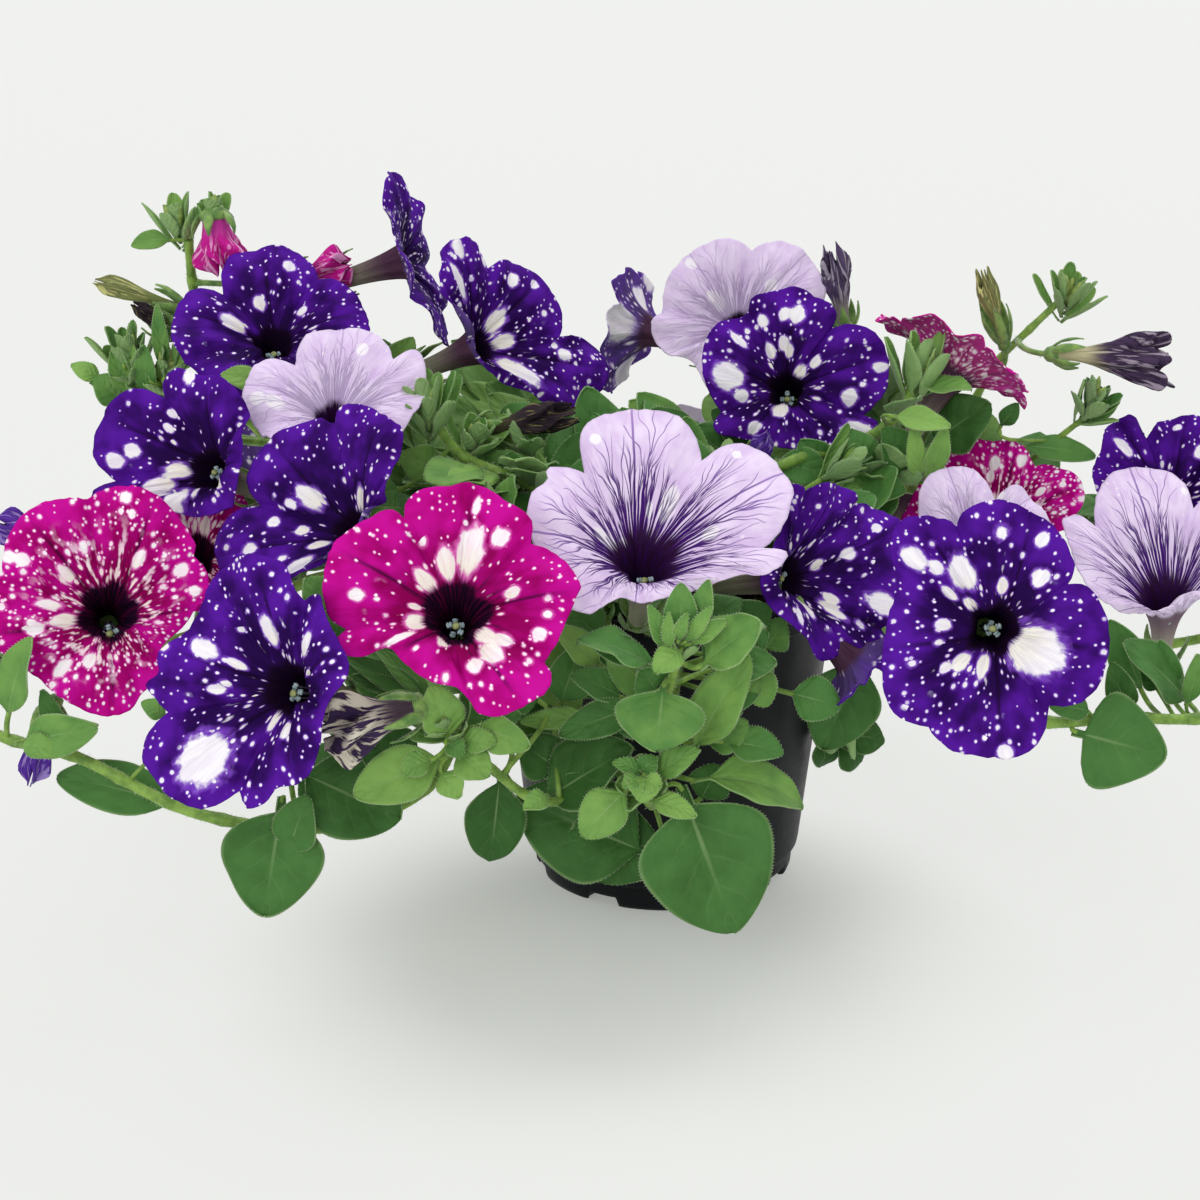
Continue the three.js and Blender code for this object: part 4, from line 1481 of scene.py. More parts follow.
    def build(self) -> None:
        """Makes the funnel, the stamens and the calyx with its stalk."""
        bm, places = self.shape()
        self.paint(bm, places)
        look = PETAL_LOOKS[self.kind]
        MAKER.piece(bm, f"{self.name}_corolla", f"petal_{self.kind.value}",
                    dress((look, False), (look, True)), (self.name,) if self.solid else (),
                    thickness=self.petal, backed=True)
        self.build_stamens()
        build_calyx(f"{self.name}_calyx", self.calyx, self.axis, self.stem, self.tube_radius, self.seed,
                    self.sepal, min(5.0, self.sepal * 0.4))

    def build_stamens(self) -> None:
        """Makes five stamens and the pistil, which stand in the throat."""
        chance = random.Random(self.seed + 1)
        bm = bmesh.new()
        for i in range(LOBES + 1):
            pistil = i == LOBES
            angle = math.tau * i / LOBES + 0.4
            far = 0.0 if pistil else chance.uniform(1.2, 2.0)
            top = -3.4 if pistil else -3.5 - chance.uniform(0, 3.0)
            end = Vector((far * math.cos(angle), far * math.sin(angle) - self.stamen_drop, top))
            start = Vector((0.8 * math.cos(angle), 0.8 * math.sin(angle), -self.tube_length * 0.85))
            path = []
            for t in (0, 0.35, 0.7, 0.9, 1):
                upright = Vector((start.x, start.y, end.z * t + start.z * (1 - t)))
                path.append(self.to_world(*start.lerp(end, t).lerp(upright, (1 - t) * 0.5)))
            sweep(bm, path, [0.28, 0.28, 0.25, 0.22, 0.2], 6, 2)
            place = self.to_world(*end)
            roll = Quaternion((0, 0, 1), angle + chance.uniform(-0.5, 0.5)).to_matrix()
            turn = (turn_to(self.axis).to_3x3() @ roll).to_4x4()
            size = (1.05, 1.0, 0.7) if pistil else (0.5, 0.85, 0.6)
            for half in (0.0,) if pistil else (-0.36, 0.36):
                lobe = Matrix.Translation((half, 0, 0)) @ Matrix.Diagonal((*size, 1))
                made = bmesh.ops.create_uvsphere(bm, u_segments=10, v_segments=7, radius=1.0,
                                                 matrix=Matrix.Translation(place) @ turn @ lobe)
                for face in {face for vert in made["verts"] for face in vert.link_faces}:
                    face.material_index = 1 if pistil else 0
        MAKER.piece(bm, f"{self.name}_stamens", "stem_green", dress(ANTHER, STIGMA, FILAMENT))


def stalk_line(calyx: Vector, back: Vector, stem: str) -> list[Vector]:
    """Finds the stalk that joins a calyx to its stem.

    Args:
        calyx: The back of the calyx.
        back: The direction in which the flower's axis leaves it.
        stem: The name of the stem.

    Returns:
        The stalk's middle line, from the calyx to the stem.
    """
    reach = calyx + back * 14
    line = STEM_LINES[stem]
    at = min(range(6, len(line)), key=lambda i: (line[i] - reach).length)
    near = line[at]
    outwards = (calyx + back * 10 - near).normalized()
    foot = near + outwards * 1.2
    lead = 0.35 * (foot - calyx).length
    return bezier(calyx + back * -1, calyx + back * lead, foot + outwards * lead, foot, 14)


def build_calyx(name: str, calyx: Vector, axis: Vector, stem: str, tube_radius: float, seed: float,
                length: float = 14.0, spread: float = 5.0) -> None:
    """Makes a stalk and the five hairy sepals at its end.

    Args:
        name: The name of the piece.
        calyx: The back end of the flower's tube.
        axis: The way the flower points.
        stem: The stem that bears it.
        tube_radius: The radius of the tube in the calyx.
        seed: The seed of the sepals' small differences.
        length: The length of the sepals.
        spread: How far their tips stand off the tube.
    """
    chance = random.Random(seed + 2)
    bm = leafy()
    path = stalk_line(calyx, -axis, stem)
    radii = [1.5, 1.15] + [0.95] * (len(path) - 3) + [1.3]
    sweep(bm, path, radii, 8)
    BRUSH.along_rod(bm, path, radii, 3.5, 0.9, HAIRS)
    turn = turn_to(axis).to_3x3()
    cup = [calyx + axis * height for height in (-2.2, -1.2, 0.2, 1.6, 2.6)]
    sweep(bm, cup, [1.1, 2.3, tube_radius + 0.7, tube_radius + 0.75, tube_radius + 0.45], 15)
    for i in range(LOBES):
        angle = math.tau * (i + chance.uniform(-0.12, 0.12)) / LOBES
        out = turn @ Vector((math.cos(angle), math.sin(angle), 0))
        base = calyx + axis * 0.5 + out * (tube_radius + 0.3)
        far = length * chance.uniform(0.85, 1.15)
        tip = calyx + axis * far + out * (tube_radius + spread * chance.uniform(0.6, 1.3))
        Blade(base, tip, -out, 3.0, arch=-1.2, stalk=0.0, cup=0.25, wave=0.2, shade=0.35, hairs=1.8,
              fullness=0.7, blunt=0.9, seed=seed + i, columns=4, rows=9).grow(bm)
    MAKER.piece(bm, name, "stem_green", dress(CALYX_GREEN, CALYX_GREEN, HAIR_WHITE))


PURPLE, MAGENTA, LAVENDER = FlowerKind.PURPLE, FlowerKind.MAGENTA, FlowerKind.LAVENDER

FLOWERS = [
    Flower("flower_magenta_left", MAGENTA, (-154, -75, 108), (0.19, -0.88, 0.44), 30, 6, "stem_left", rim=(
        ((2, 572), (3, 550), (14, 525), (38, 504), (66, 499)),
        ((88, 500), (97, 493), (130, 486), (165, 503), (188, 530), (196, 546)),
        ((194, 556), (207, 572), (208, 594), (193, 612), (184, 626), (163, 646)),
        ((161, 660), (160, 680), (144, 690), (130, 710), (104, 716), (75, 706), (52, 692)),
        ((42, 680), (6, 656), (-14, 640), (-18, 605), (-10, 582)),
    ), blotches=(
        (22, 560, 5, 4), (66, 572, 6, 3.5), (50, 604, 8, 3), (66, 620, 9, 4), (36, 630, 6, 4),
        (62, 668, 7, 4), (90, 660, 5, 4), (140, 558, 6, 3.5), (180, 570, 5, 4), (196, 592, 4, 3.5),
        (124, 498, 4, 4), (132, 516, 3, 2.5), (8, 558, 5, 4),
    ), fleck=1.45, stamen_drop=5.5),
    Flower("flower_magenta_centre", MAGENTA, (-57, -112, 121), (0.05, -0.8, 0.6), 32, 7,
           "stem_left_trailing", rim=(
        ((404, 517), (406, 500), (424, 490), (452, 488), (468, 482), (484, 485), (508, 502), (524, 513),
         (533, 526)),
        ((531, 542), (552, 550), (575, 572), (581, 585), (577, 596), (566, 622), (557, 644)),
        ((545, 661), (552, 676), (544, 694), (518, 709), (496, 716), (478, 713)),
        ((470, 700), (456, 686), (430, 681), (408, 666), (388, 648), (360, 656), (342, 652), (336, 640)),
        ((346, 627), (330, 617), (323, 598), (327, 564), (336, 540), (366, 520), (392, 510)),
    ), blotches=(
        (472, 548, 13.5, 7.5), (446, 565, 9, 5), (424, 580, 8, 4.5), (416, 622, 7, 5), (484, 634, 10, 5),
        (492, 652, 8, 6), (474, 666, 5, 4.5), (505, 640, 6, 4), (448, 638, 5, 4), (476, 507, 6, 2.5),
        (500, 537, 6, 5), (357, 592, 5, 3.5), (413, 606, 4, 2), (540, 633, 4.5, 4), (512, 592, 5, 3),
        (400, 638, 10, 2),
    ), fleck=0.65, stamen_drop=2.5),
    Flower("flower_lavender_centre", LAVENDER, (-8, -80, 124), (0.04, -0.6, 0.8), 36, 14, "stem_front",
           rim=(
        ((584, 469), (580, 444), (583, 430), (602, 415), (630, 409), (652, 408), (676, 414), (694, 432),
         (700, 446)),
        ((702, 456), (726, 445), (742, 444), (760, 450), (784, 470), (793, 492), (786, 520), (772, 540)),
        ((758, 547), (787, 553), (782, 564), (768, 572), (740, 576), (706, 587)),
        ((690, 590), (668, 598), (646, 602), (628, 598), (606, 604)),
        ((590, 610), (566, 606), (552, 578), (536, 548), (527, 516), (531, 494), (548, 480), (547, 467),
         (566, 466)),
    ), blotches=(
        (593, 440, 4, 3.5), (668, 505, 10, 5), (607, 540, 8, 4), (624, 545, 4, 3), (712, 533, 5, 4),
        (648, 512, 4, 2), (735, 455, 3, 3),
    ), stamen_drop=3.5, ruffle=1.0),
    Flower("flower_purple_front_left", PURPLE, (-100, -122, 104), (-0.47, -0.79, 0.4), 34, 9,
           "stem_left_trailing", rim=(
        ((211, 580), (216, 572), (232, 560), (258, 555), (277, 561), (290, 578)),
        ((300, 600), (318, 594), (324, 610), (338, 642), (347, 667), (342, 684), (330, 700)),
        ((322, 712), (320, 740), (312, 770), (295, 784), (274, 788), (262, 802), (246, 809), (240, 800)),
        ((234, 791), (222, 800), (200, 809), (172, 797), (150, 775), (141, 757), (144, 738)),
        ((167, 712), (150, 694), (145, 684), (160, 674), (160, 652), (188, 628), (204, 602)),
    ), blotches=(
        (202, 759, 17, 14.5), (204, 649, 9, 5.5), (268, 630, 8, 4), (306, 645, 8, 3.5), (284, 731, 5, 3.5),
        (236, 662, 6, 2.5), (276, 718, 9, 2), (216, 688, 5, 3),
    ), fleck=0.85, stamen_drop=1.0),
    Flower("flower_purple_right_centre", PURPLE, (33, -60, 113), (0.68, -0.66, 0.32), 28, 8,
           "stem_right_front", rim=(
        ((778, 540), (786, 505), (794, 484)),
        ((803, 492), (815, 485), (834, 483), (850, 487), (858, 498)),
        ((859, 502), (876, 505), (893, 520), (899, 545), (899, 570)),
        ((897, 580), (914, 592), (924, 612), (927, 640), (920, 661), (905, 672), (884, 675)),
        ((865, 664), (846, 652), (832, 661), (812, 655), (800, 638), (782, 620), (770, 602), (766, 575)),
    ), blotches=(
        (883, 605, 14, 7), (832, 610, 10, 4), (805, 605, 9, 3), (830, 598, 6, 3), (912, 627, 5, 4.5),
        (847, 555, 5, 4), (816, 565, 4, 3.5), (875, 528, 3.5, 3), (888, 661, 4, 3), (800, 618, 8, 2),
    ), fleck=0.9, stamen_drop=0.0),
    Flower("flower_purple_below", PURPLE, (50, -62, 90), (0.7, -0.2, -0.62), 15, 5, "stem_right_front",
           turn=30, tube_length=24, fleck=0.25, ruffle=0.7, sepal=5.0, solid=False),
    Flower("flower_purple_front_right", PURPLE, (81, -116, 118), (-0.04, -0.95, 0.32), 33, 5,
           "stem_right_front", rim=(
        ((890, 545), (899, 521), (918, 516), (938, 517), (950, 521)),
        ((957, 525), (964, 512), (987, 501), (1008, 501), (1030, 512), (1050, 522), (1062, 537),
         (1074, 560), (1074, 574)),
        ((1069, 584), (1086, 585), (1105, 612), (1109, 638), (1105, 672), (1090, 697), (1070, 706)),
        ((1050, 706), (1047, 727), (1034, 748), (1012, 758), (996, 759), (957, 752), (938, 740)),
        ((928, 727), (904, 721), (888, 706), (882, 670), (888, 620), (898, 585), (893, 562)),
    ), blotches=(
        (1036, 650, 16.5, 14.5), (962, 572, 11, 7), (915, 558, 9, 5.5), (935, 567, 5, 4), (1040, 577, 6, 5),
        (1042, 539, 5, 4), (982, 666, 8, 3.5), (962, 662, 7, 4), (970, 603, 5, 3), (942, 624, 5, 3.5),
        (1008, 752, 5, 4.5), (946, 666, 4, 3), (1003, 586, 5, 3), (950, 594, 6, 2.5),
    ), fleck=0.8, stamen_drop=0.0),
    Flower("flower_lavender_right", LAVENDER, (151, -5, 87), (-0.1, -0.46, 0.88), 31, 12, "stem_right",
           rim=(
        ((1095, 525), (1094, 508), (1105, 480), (1124, 470), (1145, 467), (1168, 471), (1186, 485)),
        ((1194, 505), (1212, 492), (1232, 500), (1244, 528), (1238, 556)),
        ((1226, 580), (1212, 596), (1196, 592), (1178, 597), (1166, 607)),
        ((1152, 613), (1138, 612), (1120, 611), (1104, 602)),
        ((1090, 592), (1078, 570), (1065, 533), (1062, 518), (1074, 513)),
    ), blotches=(
        (1185, 490, 3, 3),
    ), stamen_drop=3.0, ruffle=1.0),
    Flower("flower_purple_right_edge", PURPLE, (162, 50, 102), (0, -0.71, 0.7), 27, 8, "stem_right_rear",
           rim=(
        ((1147, 437), (1160, 422), (1176, 416), (1194, 417), (1210, 426)),
        ((1224, 440), (1240, 462), (1236, 488), (1222, 504)),
        ((1206, 512), (1186, 528), (1160, 532), (1140, 528)),
        ((1124, 518), (1106, 505), (1094, 484), (1094, 466)),
        ((1100, 452), (1104, 434), (1112, 421), (1134, 417)),
    ), blotches=(
        (1122, 447, 8, 4), (1176, 428, 3, 3), (1199, 452, 5, 4),
    ), fleck=0.7),
    Flower("flower_magenta_right_back", MAGENTA, (108, 47, 96), (-0.1, -0.71, 0.69), 28, 8,
           "stem_right_rear", rim=(
        ((899, 520), (908, 503), (924, 480), (950, 456), (966, 443)),
        ((987, 439), (1008, 441), (1026, 447), (1030, 460)),
        ((1036, 463), (1046, 461), (1064, 469), (1082, 482), (1084, 502), (1074, 518)),
        ((1064, 528), (1040, 540), (1010, 548)),
        ((985, 550), (950, 548), (915, 540)),
    ), blotches=(
        (995, 462, 6, 4), (1022, 460, 5, 4), (990, 477, 4, 3), (1040, 492, 4, 3),
    ), fleck=2.1),
    Flower("flower_lavender_right_back", LAVENDER, (93, -6, 104), (-0.2, -0.69, 0.69), 24, 8, "stem_right",
           rim=(
        ((918, 516), (919, 494), (928, 476), (946, 465), (968, 465), (984, 478), (992, 492)),
        ((995, 499), (1004, 491), (1020, 489), (1034, 500), (1046, 516)),
        ((1052, 528), (1048, 552), (1034, 566)),
        ((1018, 574), (990, 582), (962, 576)),
        ((944, 566), (926, 548), (918, 530)),
    ), blotches=(
        (1000, 497, 4, 4),
    ), fleck=0.45),
    Flower("flower_purple_top_right", PURPLE, (39, 48, 139), (-0.17, -0.89, 0.43), 29, 5, "stem_back_right",
           rim=(
        ((747, 312), (752, 298), (774, 291), (797, 285), (814, 295), (833, 306), (837, 316)),
        ((832, 327), (848, 324), (870, 330), (884, 344), (889, 368), (884, 394), (872, 408)),
        ((862, 415), (877, 422), (877, 434), (864, 450), (842, 462), (820, 460)),
        ((806, 448), (785, 448), (762, 443), (735, 437), (718, 434), (714, 424)),
        ((720, 411), (708, 390), (702, 362), (706, 338), (722, 321), (738, 318)),
    ), blotches=(
        (728, 375, 11, 9.5), (858, 437, 13, 9), (797, 315, 7, 6), (785, 315, 5, 4), (850, 398, 6, 6),
        (780, 410, 6, 6), (771, 352, 6, 3.5), (783, 342, 5, 4), (790, 352, 5, 3), (739, 338, 8, 3),
        (882, 367, 6, 4), (742, 395, 5, 4.5), (800, 372, 6, 4), (815, 363, 5, 3.5), (762, 322, 5, 4),
        (753, 427, 5, 4),
    ), fleck=0.85, stamen_drop=2.5),
    Flower("flower_lavender_top", LAVENDER, (26, 92, 148), (-0.05, -0.86, 0.5), 29, 7, "stem_back_right",
           rim=(
        ((662, 312), (664, 288), (680, 262), (700, 246), (722, 239), (740, 242)),
        ((752, 250), (762, 243), (782, 240), (804, 250), (820, 273), (826, 292)),
        ((822, 306), (826, 336), (808, 368)),
        ((792, 388), (760, 404), (726, 400)),
        ((706, 386), (690, 361), (668, 354), (652, 334), (652, 320)),
    ), blotches=(
        (693, 263, 5, 4), (770, 286, 5, 4), (715, 300, 8, 5),
    ), fleck=0.4),
    Flower("flower_purple_top_turned", PURPLE, (-3, 118, 141), (-0.85, 0.4, 0.12), 22, 9, "stem_back_right",
           blotches=(
        (655, 274, 9, 7), (612, 322, 18, 14), (628, 370, 16, 12), (640, 300, 8, 6),
    ), turn=40, fleck=1.0),
    Flower("flower_purple_top", PURPLE, (-57, 35, 156), (0.75, -0.5, 0.43), 28, 8, "stem_back", rim=(
        ((440, 274), (441, 256), (449, 242), (460, 239), (474, 243), (484, 254)),
        ((489, 268), (498, 261), (516, 263), (540, 276), (550, 292), (562, 306), (562, 324)),
        ((560, 337), (584, 338), (600, 352), (604, 372), (600, 392), (584, 405)),
        ((570, 408), (548, 400), (524, 390), (504, 381)),
        ((488, 370), (476, 354), (470, 338), (468, 320), (452, 304), (442, 290)),
    ), blotches=(
        (520, 372, 16, 7), (497, 320, 9, 6), (503, 342, 9, 5), (460, 280, 14, 4), (458, 248, 8, 5),
        (512, 278, 6, 5), (535, 285, 4, 3.5), (566, 353, 6, 4.5),
    ), fleck=0.9),
    Flower("flower_purple_edge_on", PURPLE, (-82, 62, 177), (0.95, -0.03, 0.3), 28, 5, "stem_back_left",
           turn=54, fleck=1.1, ruffle=2.4),
    Flower("flower_purple_back_left", PURPLE, (-120, 32, 158), (0.11, -0.63, 0.77), 31, 8, "stem_back_left",
           rim=(
        ((223, 291), (222, 272), (232, 254), (256, 247), (278, 246), (300, 252), (314, 264)),
        ((318, 278), (334, 281), (352, 289), (363, 305), (370, 330), (362, 352)),
        ((350, 366), (330, 390), (300, 398)),
        ((284, 400), (250, 398), (226, 388), (204, 376)),
        ((186, 362), (174, 348), (171, 328), (178, 306), (194, 290), (210, 288)),
    ), blotches=(
        (233, 321, 8, 5), (260, 304, 5, 4), (291, 267, 5, 4), (302, 311, 4, 3),
    ), fleck=0.6),
    Flower("flower_lavender_back_left", LAVENDER, (-98, -4, 144), (0.08, -0.57, 0.82), 28, 8,
           "stem_back_left", rim=(
        ((295, 360), (298, 346), (310, 336), (332, 333), (354, 328), (376, 336), (390, 350)),
        ((394, 359), (408, 352), (420, 354), (426, 374), (424, 398), (412, 418)),
        ((402, 432), (376, 450), (350, 456)),
        ((336, 458), (304, 456), (282, 448), (270, 440)),
        ((262, 430), (246, 408), (242, 388), (252, 366), (268, 358), (284, 358)),
    ), blotches=(
        (256, 398, 5, 5), (275, 402, 6, 5), (362, 350, 5, 4),
    ), fleck=0.4, stamen_drop=3.0),
    Flower("flower_purple_left", PURPLE, (-133, -25, 134), (-0.45, -0.75, 0.48), 31, 7, "stem_left", rim=(
        ((163, 397), (165, 380), (178, 368), (198, 375), (222, 378), (240, 394)),
        ((245, 412), (242, 436), (240, 462), (238, 488)),
        ((230, 506), (214, 514), (196, 517), (176, 512), (150, 508)),
        ((128, 500), (106, 498), (92, 500), (100, 487)),
        ((114, 481), (98, 462), (93, 444), (98, 424), (110, 403), (132, 390), (150, 391)),
    ), blotches=(
        (178, 471, 9.5, 5.5), (157, 487, 11, 6), (175, 499, 9, 6.5), (115, 459, 7, 5), (131, 450, 6, 4.5),
        (216, 483, 6, 3), (190, 377, 6, 4), (172, 413, 4, 2.5), (168, 427, 4, 2.5),
    ), fleck=0.55, stamen_drop=0.0),
    Flower("flower_purple_centre_left", PURPLE, (-89, -55, 125), (-0.6, -0.6, 0.53), 31, 10, "stem_left",
           rim=(
        ((336, 424), (344, 408), (360, 404), (380, 413), (399, 428), (396, 452)),
        ((388, 476), (386, 492), (374, 508), (362, 520)),
        ((352, 536), (334, 552), (318, 566), (296, 578)),
        ((270, 590), (240, 588), (219, 562), (219, 532), (234, 510)),
        ((256, 504), (246, 486), (251, 462), (270, 444), (296, 425), (316, 418)),
    ), blotches=(
        (311, 497, 9, 6.5), (298, 564, 9, 3), (252, 548, 5, 4), (273, 521, 4, 4), (303, 530, 4, 3.5),
        (290, 505, 4, 3), (361, 500, 8, 3), (318, 545, 6, 2.5),
    ), fleck=0.6, stamen_drop=0.0),
    Flower("flower_magenta_behind_left", MAGENTA, (-139, -18, 106), (0.1, -0.75, 0.65), 20, 5, "stem_left",
           blotches=(
        (205, 530, 8, 4), (212, 548, 6, 4),
    ), turn=30, fleck=2.2),
    Flower("flower_magenta_turned_away", MAGENTA, (90, 52, 143), (0.5, 0.3, 0.8), 27, 7, "stem_right_top",
           turn=10, fleck=1.8, ruffle=2.6),
    Flower("flower_magenta_rear", MAGENTA, (-52, 118, 86), (-0.25, 0.88, 0.4), 31, 7, "stem_rear_left",
           turn=50),
    Flower("flower_purple_rear_left", PURPLE, (-134, 98, 88), (-0.6, 0.7, 0.4), 32, 7, "stem_rear_left",
           turn=10),
    Flower("flower_lavender_rear", LAVENDER, (12, 126, 84), (0, 0.86, 0.5), 31, 8, "stem_rear_right",
           turn=33),
    Flower("flower_purple_rear_right", PURPLE, (86, 118, 80), (0.35, 0.85, 0.4), 31, 7, "stem_right_rear",
           turn=60),
]


# ---- Closed flowers and buds ---------------------------------------------------------------------


@dataclass
class ClosedFlower:
    """A closed flower or a bud: a narrow tube that widens to furled, pleated and twisted petals."""

    name: str
    calyx: Point
    tip: Point
    look: FurledPetal
    stem: str
    mouth: float = 5.5
    tube: float = 1.9
    closing: float = 0.35
    ragged: float = 0.1
    pleats: float = 0.26
    twist: float = 1.5
    bend: float = 0.0
    sepal: float = 10.0
    petal: float = 0.35
    node: str = ""
    sides: int = 80
    rows: int = 30

    def build(self) -> None:
        """Makes the furled petals and the calyx with its stalk."""
        start, end = Vector(self.calyx), Vector(self.tip)
        axis = (end - start).normalized()
        length = (end - start).length
        seed = float(sum(map(ord, self.name)) % 91)
        bm = bmesh.new()
        bm.loops.layers.uv.new("lobe")
        disc(bm, self.rows, self.sides, upwards=False)
        turn = turn_to(axis).to_3x3()
        places = {}
        for vert in bm.verts:
            share = (round(vert.co.xy.length) - 1) / self.rows
            angle = math.atan2(vert.co.y, vert.co.x)
            places[vert] = (angle / math.tau * LOBES + LOBES / 2, share)
            folded = angle + self.twist * share
            wide = self.tube + (self.mouth - self.tube) * smooth(share, 0.15, 0.85)
            wide *= 1 - self.closing * smooth(share, 0.84, 1.0)
            rough = noise.noise(Vector((math.cos(angle) * 2, math.sin(angle) * 2, seed + share * 2)))
            pleat = 1 + self.pleats * smooth(share, 0.3, 0.75) * (math.cos(LOBES * folded) + rough * 1.2)
            uneven = self.ragged * smooth(share, 0.6, 1.0) * (math.cos(LOBES * folded + 1.5) + rough * 1.5)
            place = Vector((wide * pleat * math.cos(angle), wide * pleat * math.sin(angle), 0))
            along = axis * (length * share * (1.0 + uneven))
            vert.co = start + turn @ place + along + UP * (self.bend * share**2)
        write_lobes(bm, places)
        MAKER.piece(bm, f"{self.name}_petals", "petal_wilted", dress(self.look),
                    (self.node,) if self.node else (), thickness=self.petal)
        build_calyx(f"{self.name}_calyx", start, axis, self.stem, self.tube, seed, self.sepal, 3.0)


CLOSED_FLOWERS = [
    ClosedFlower("closed_right", (124, 62, 147), (158, 54, 149), FURLED_PURPLE, "stem_upper_right", 7.0,
                 2.0, -0.1, 0.07, 0.3, 1.0, -3.0, node="flower_closed_right"),
    ClosedFlower("closed_up", (61, 90, 148), (56, 90, 173), FURLED_BLACK, "stem_back_right", 4.8, 2.0, 0.5,
                 0.14, 0.2, 2.6, node="flower_closed_up"),
    ClosedFlower("wilted_front", (-66, -112, 95), (-91, -117, 90), FURLED_CREAM, "stem_front_left", 7.4,
                 3.4, 0.35, 0.08, 0.42, 1.6, node="flower_wilted_front"),
    ClosedFlower("wilted_middle", (-57, 10, 136), (-30, 14, 140), FURLED_BROWN, "shoot_crown_a", 4.4, 2.2,
                 0.4, 0.1, 0.3, 2.0, sepal=7.0),
    ClosedFlower("half_open_magenta", (-140, 56, 194), (-138, 54, 176), FURLED_MAGENTA, "stem_back_left",
                 7.4, 4.0, 0.7, 0.1, 0.36, 1.6, sepal=7.0),
    ClosedFlower("small_magenta", (-116, 60, 172), (-99, 57, 177), FURLED_MAGENTA, "stem_back_left", 5.4,
                 2.2, 0.7, 0.08, 0.34, 1.4, sepal=5.0),
    ClosedFlower("bud_left_long", (-148, 42, 166), (-174, 40, 175), FURLED_YELLOW, "stem_back_left", 2.9,
                 1.3, 0.7, 0.05, 0.16, 1.0),
    ClosedFlower("bud_left_short", (-150, 38, 158), (-162, 34, 169), FURLED_BROWN, "stem_back_left", 2.6,
                 1.3, 0.7, 0.05, 0.16, 1.0),
    ClosedFlower("bud_upper_right", (112, 80, 146), (104, 80, 168), FURLED_YELLOW, "stem_upper_right", 3.4,
                 1.5, 0.3, 0.12, 0.2, 1.0, sepal=15.0),
    ClosedFlower("bud_purple_left", (-168, -86, 86), (-175, -89, 65), FURLED_VIOLET, "stem_left_trailing",
                 4.0, 1.6, 0.8, 0.1, 0.2, 1.0, sepal=9.0),
    ClosedFlower("bud_purple_edge", (-176, -26, 110), (-194, -28, 119), FURLED_VIOLET, "stem_left", 5.0,
                 1.8, 0.6, 0.1, 0.2, 1.0),
    ClosedFlower("bud_behind_centre", (25, 6, 122), (30, 4, 136), FURLED_VIOLET, "shoot_crown_c", 3.0, 1.5,
                 0.7, 0.1, 0.2, 1.0),
]


# ---- Leaves --------------------------------------------------------------------------------------


LEAF_SET = ((LEAF, False), (LEAF, True), HAIR_WHITE, STEM_GREEN)


def petiole(bm: bmesh.types.BMesh, base: Vector, tip: Vector, radius: float) -> None:
    """Joins a leaf to the nearest stem by a thin stalk.

    Args:
        bm: The mesh that it is added to.
        base: The base of the blade.
        tip: The tip of the blade.
        radius: The radius of the stalk.
    """
    points = (point for line in STEM_LINES.values() for point in line[4:])
    near = min(points, key=lambda point: (point - base).length)
    along = (tip - base).normalized()
    reach = (near - base).length * 0.4
    path = bezier(base + along * 1.5, base - along * reach, near.lerp(base, 0.3), near, 8)
    sweep(bm, path, [radius] * 7 + [radius * 1.3], 6, STALK)


@dataclass(frozen=True)
class BigLeaf:
    """A large leaf that has a solid of its own in the part."""

    name: str
    base: Point
    tip: Point
    face: Point
    width: float
    arch: float
    shade: float
    fullness: float = 0.8

    def build(self) -> None:
        """Makes the leaf."""
        bm = leafy()
        base, tip = Vector(self.base), Vector(self.tip)
        Blade(base, tip, Vector(self.face), self.width, arch=self.arch, shade=self.shade, hairs=1.2, wave=1.3,
              thickness=0.5, fullness=self.fullness, seed=self.width, columns=14, rows=30).grow(bm)
        petiole(bm, base, tip, 0.8)
        MAKER.piece(bm, f"{self.name}_blade", "leaf_green", dress(*LEAF_SET), (self.name,))
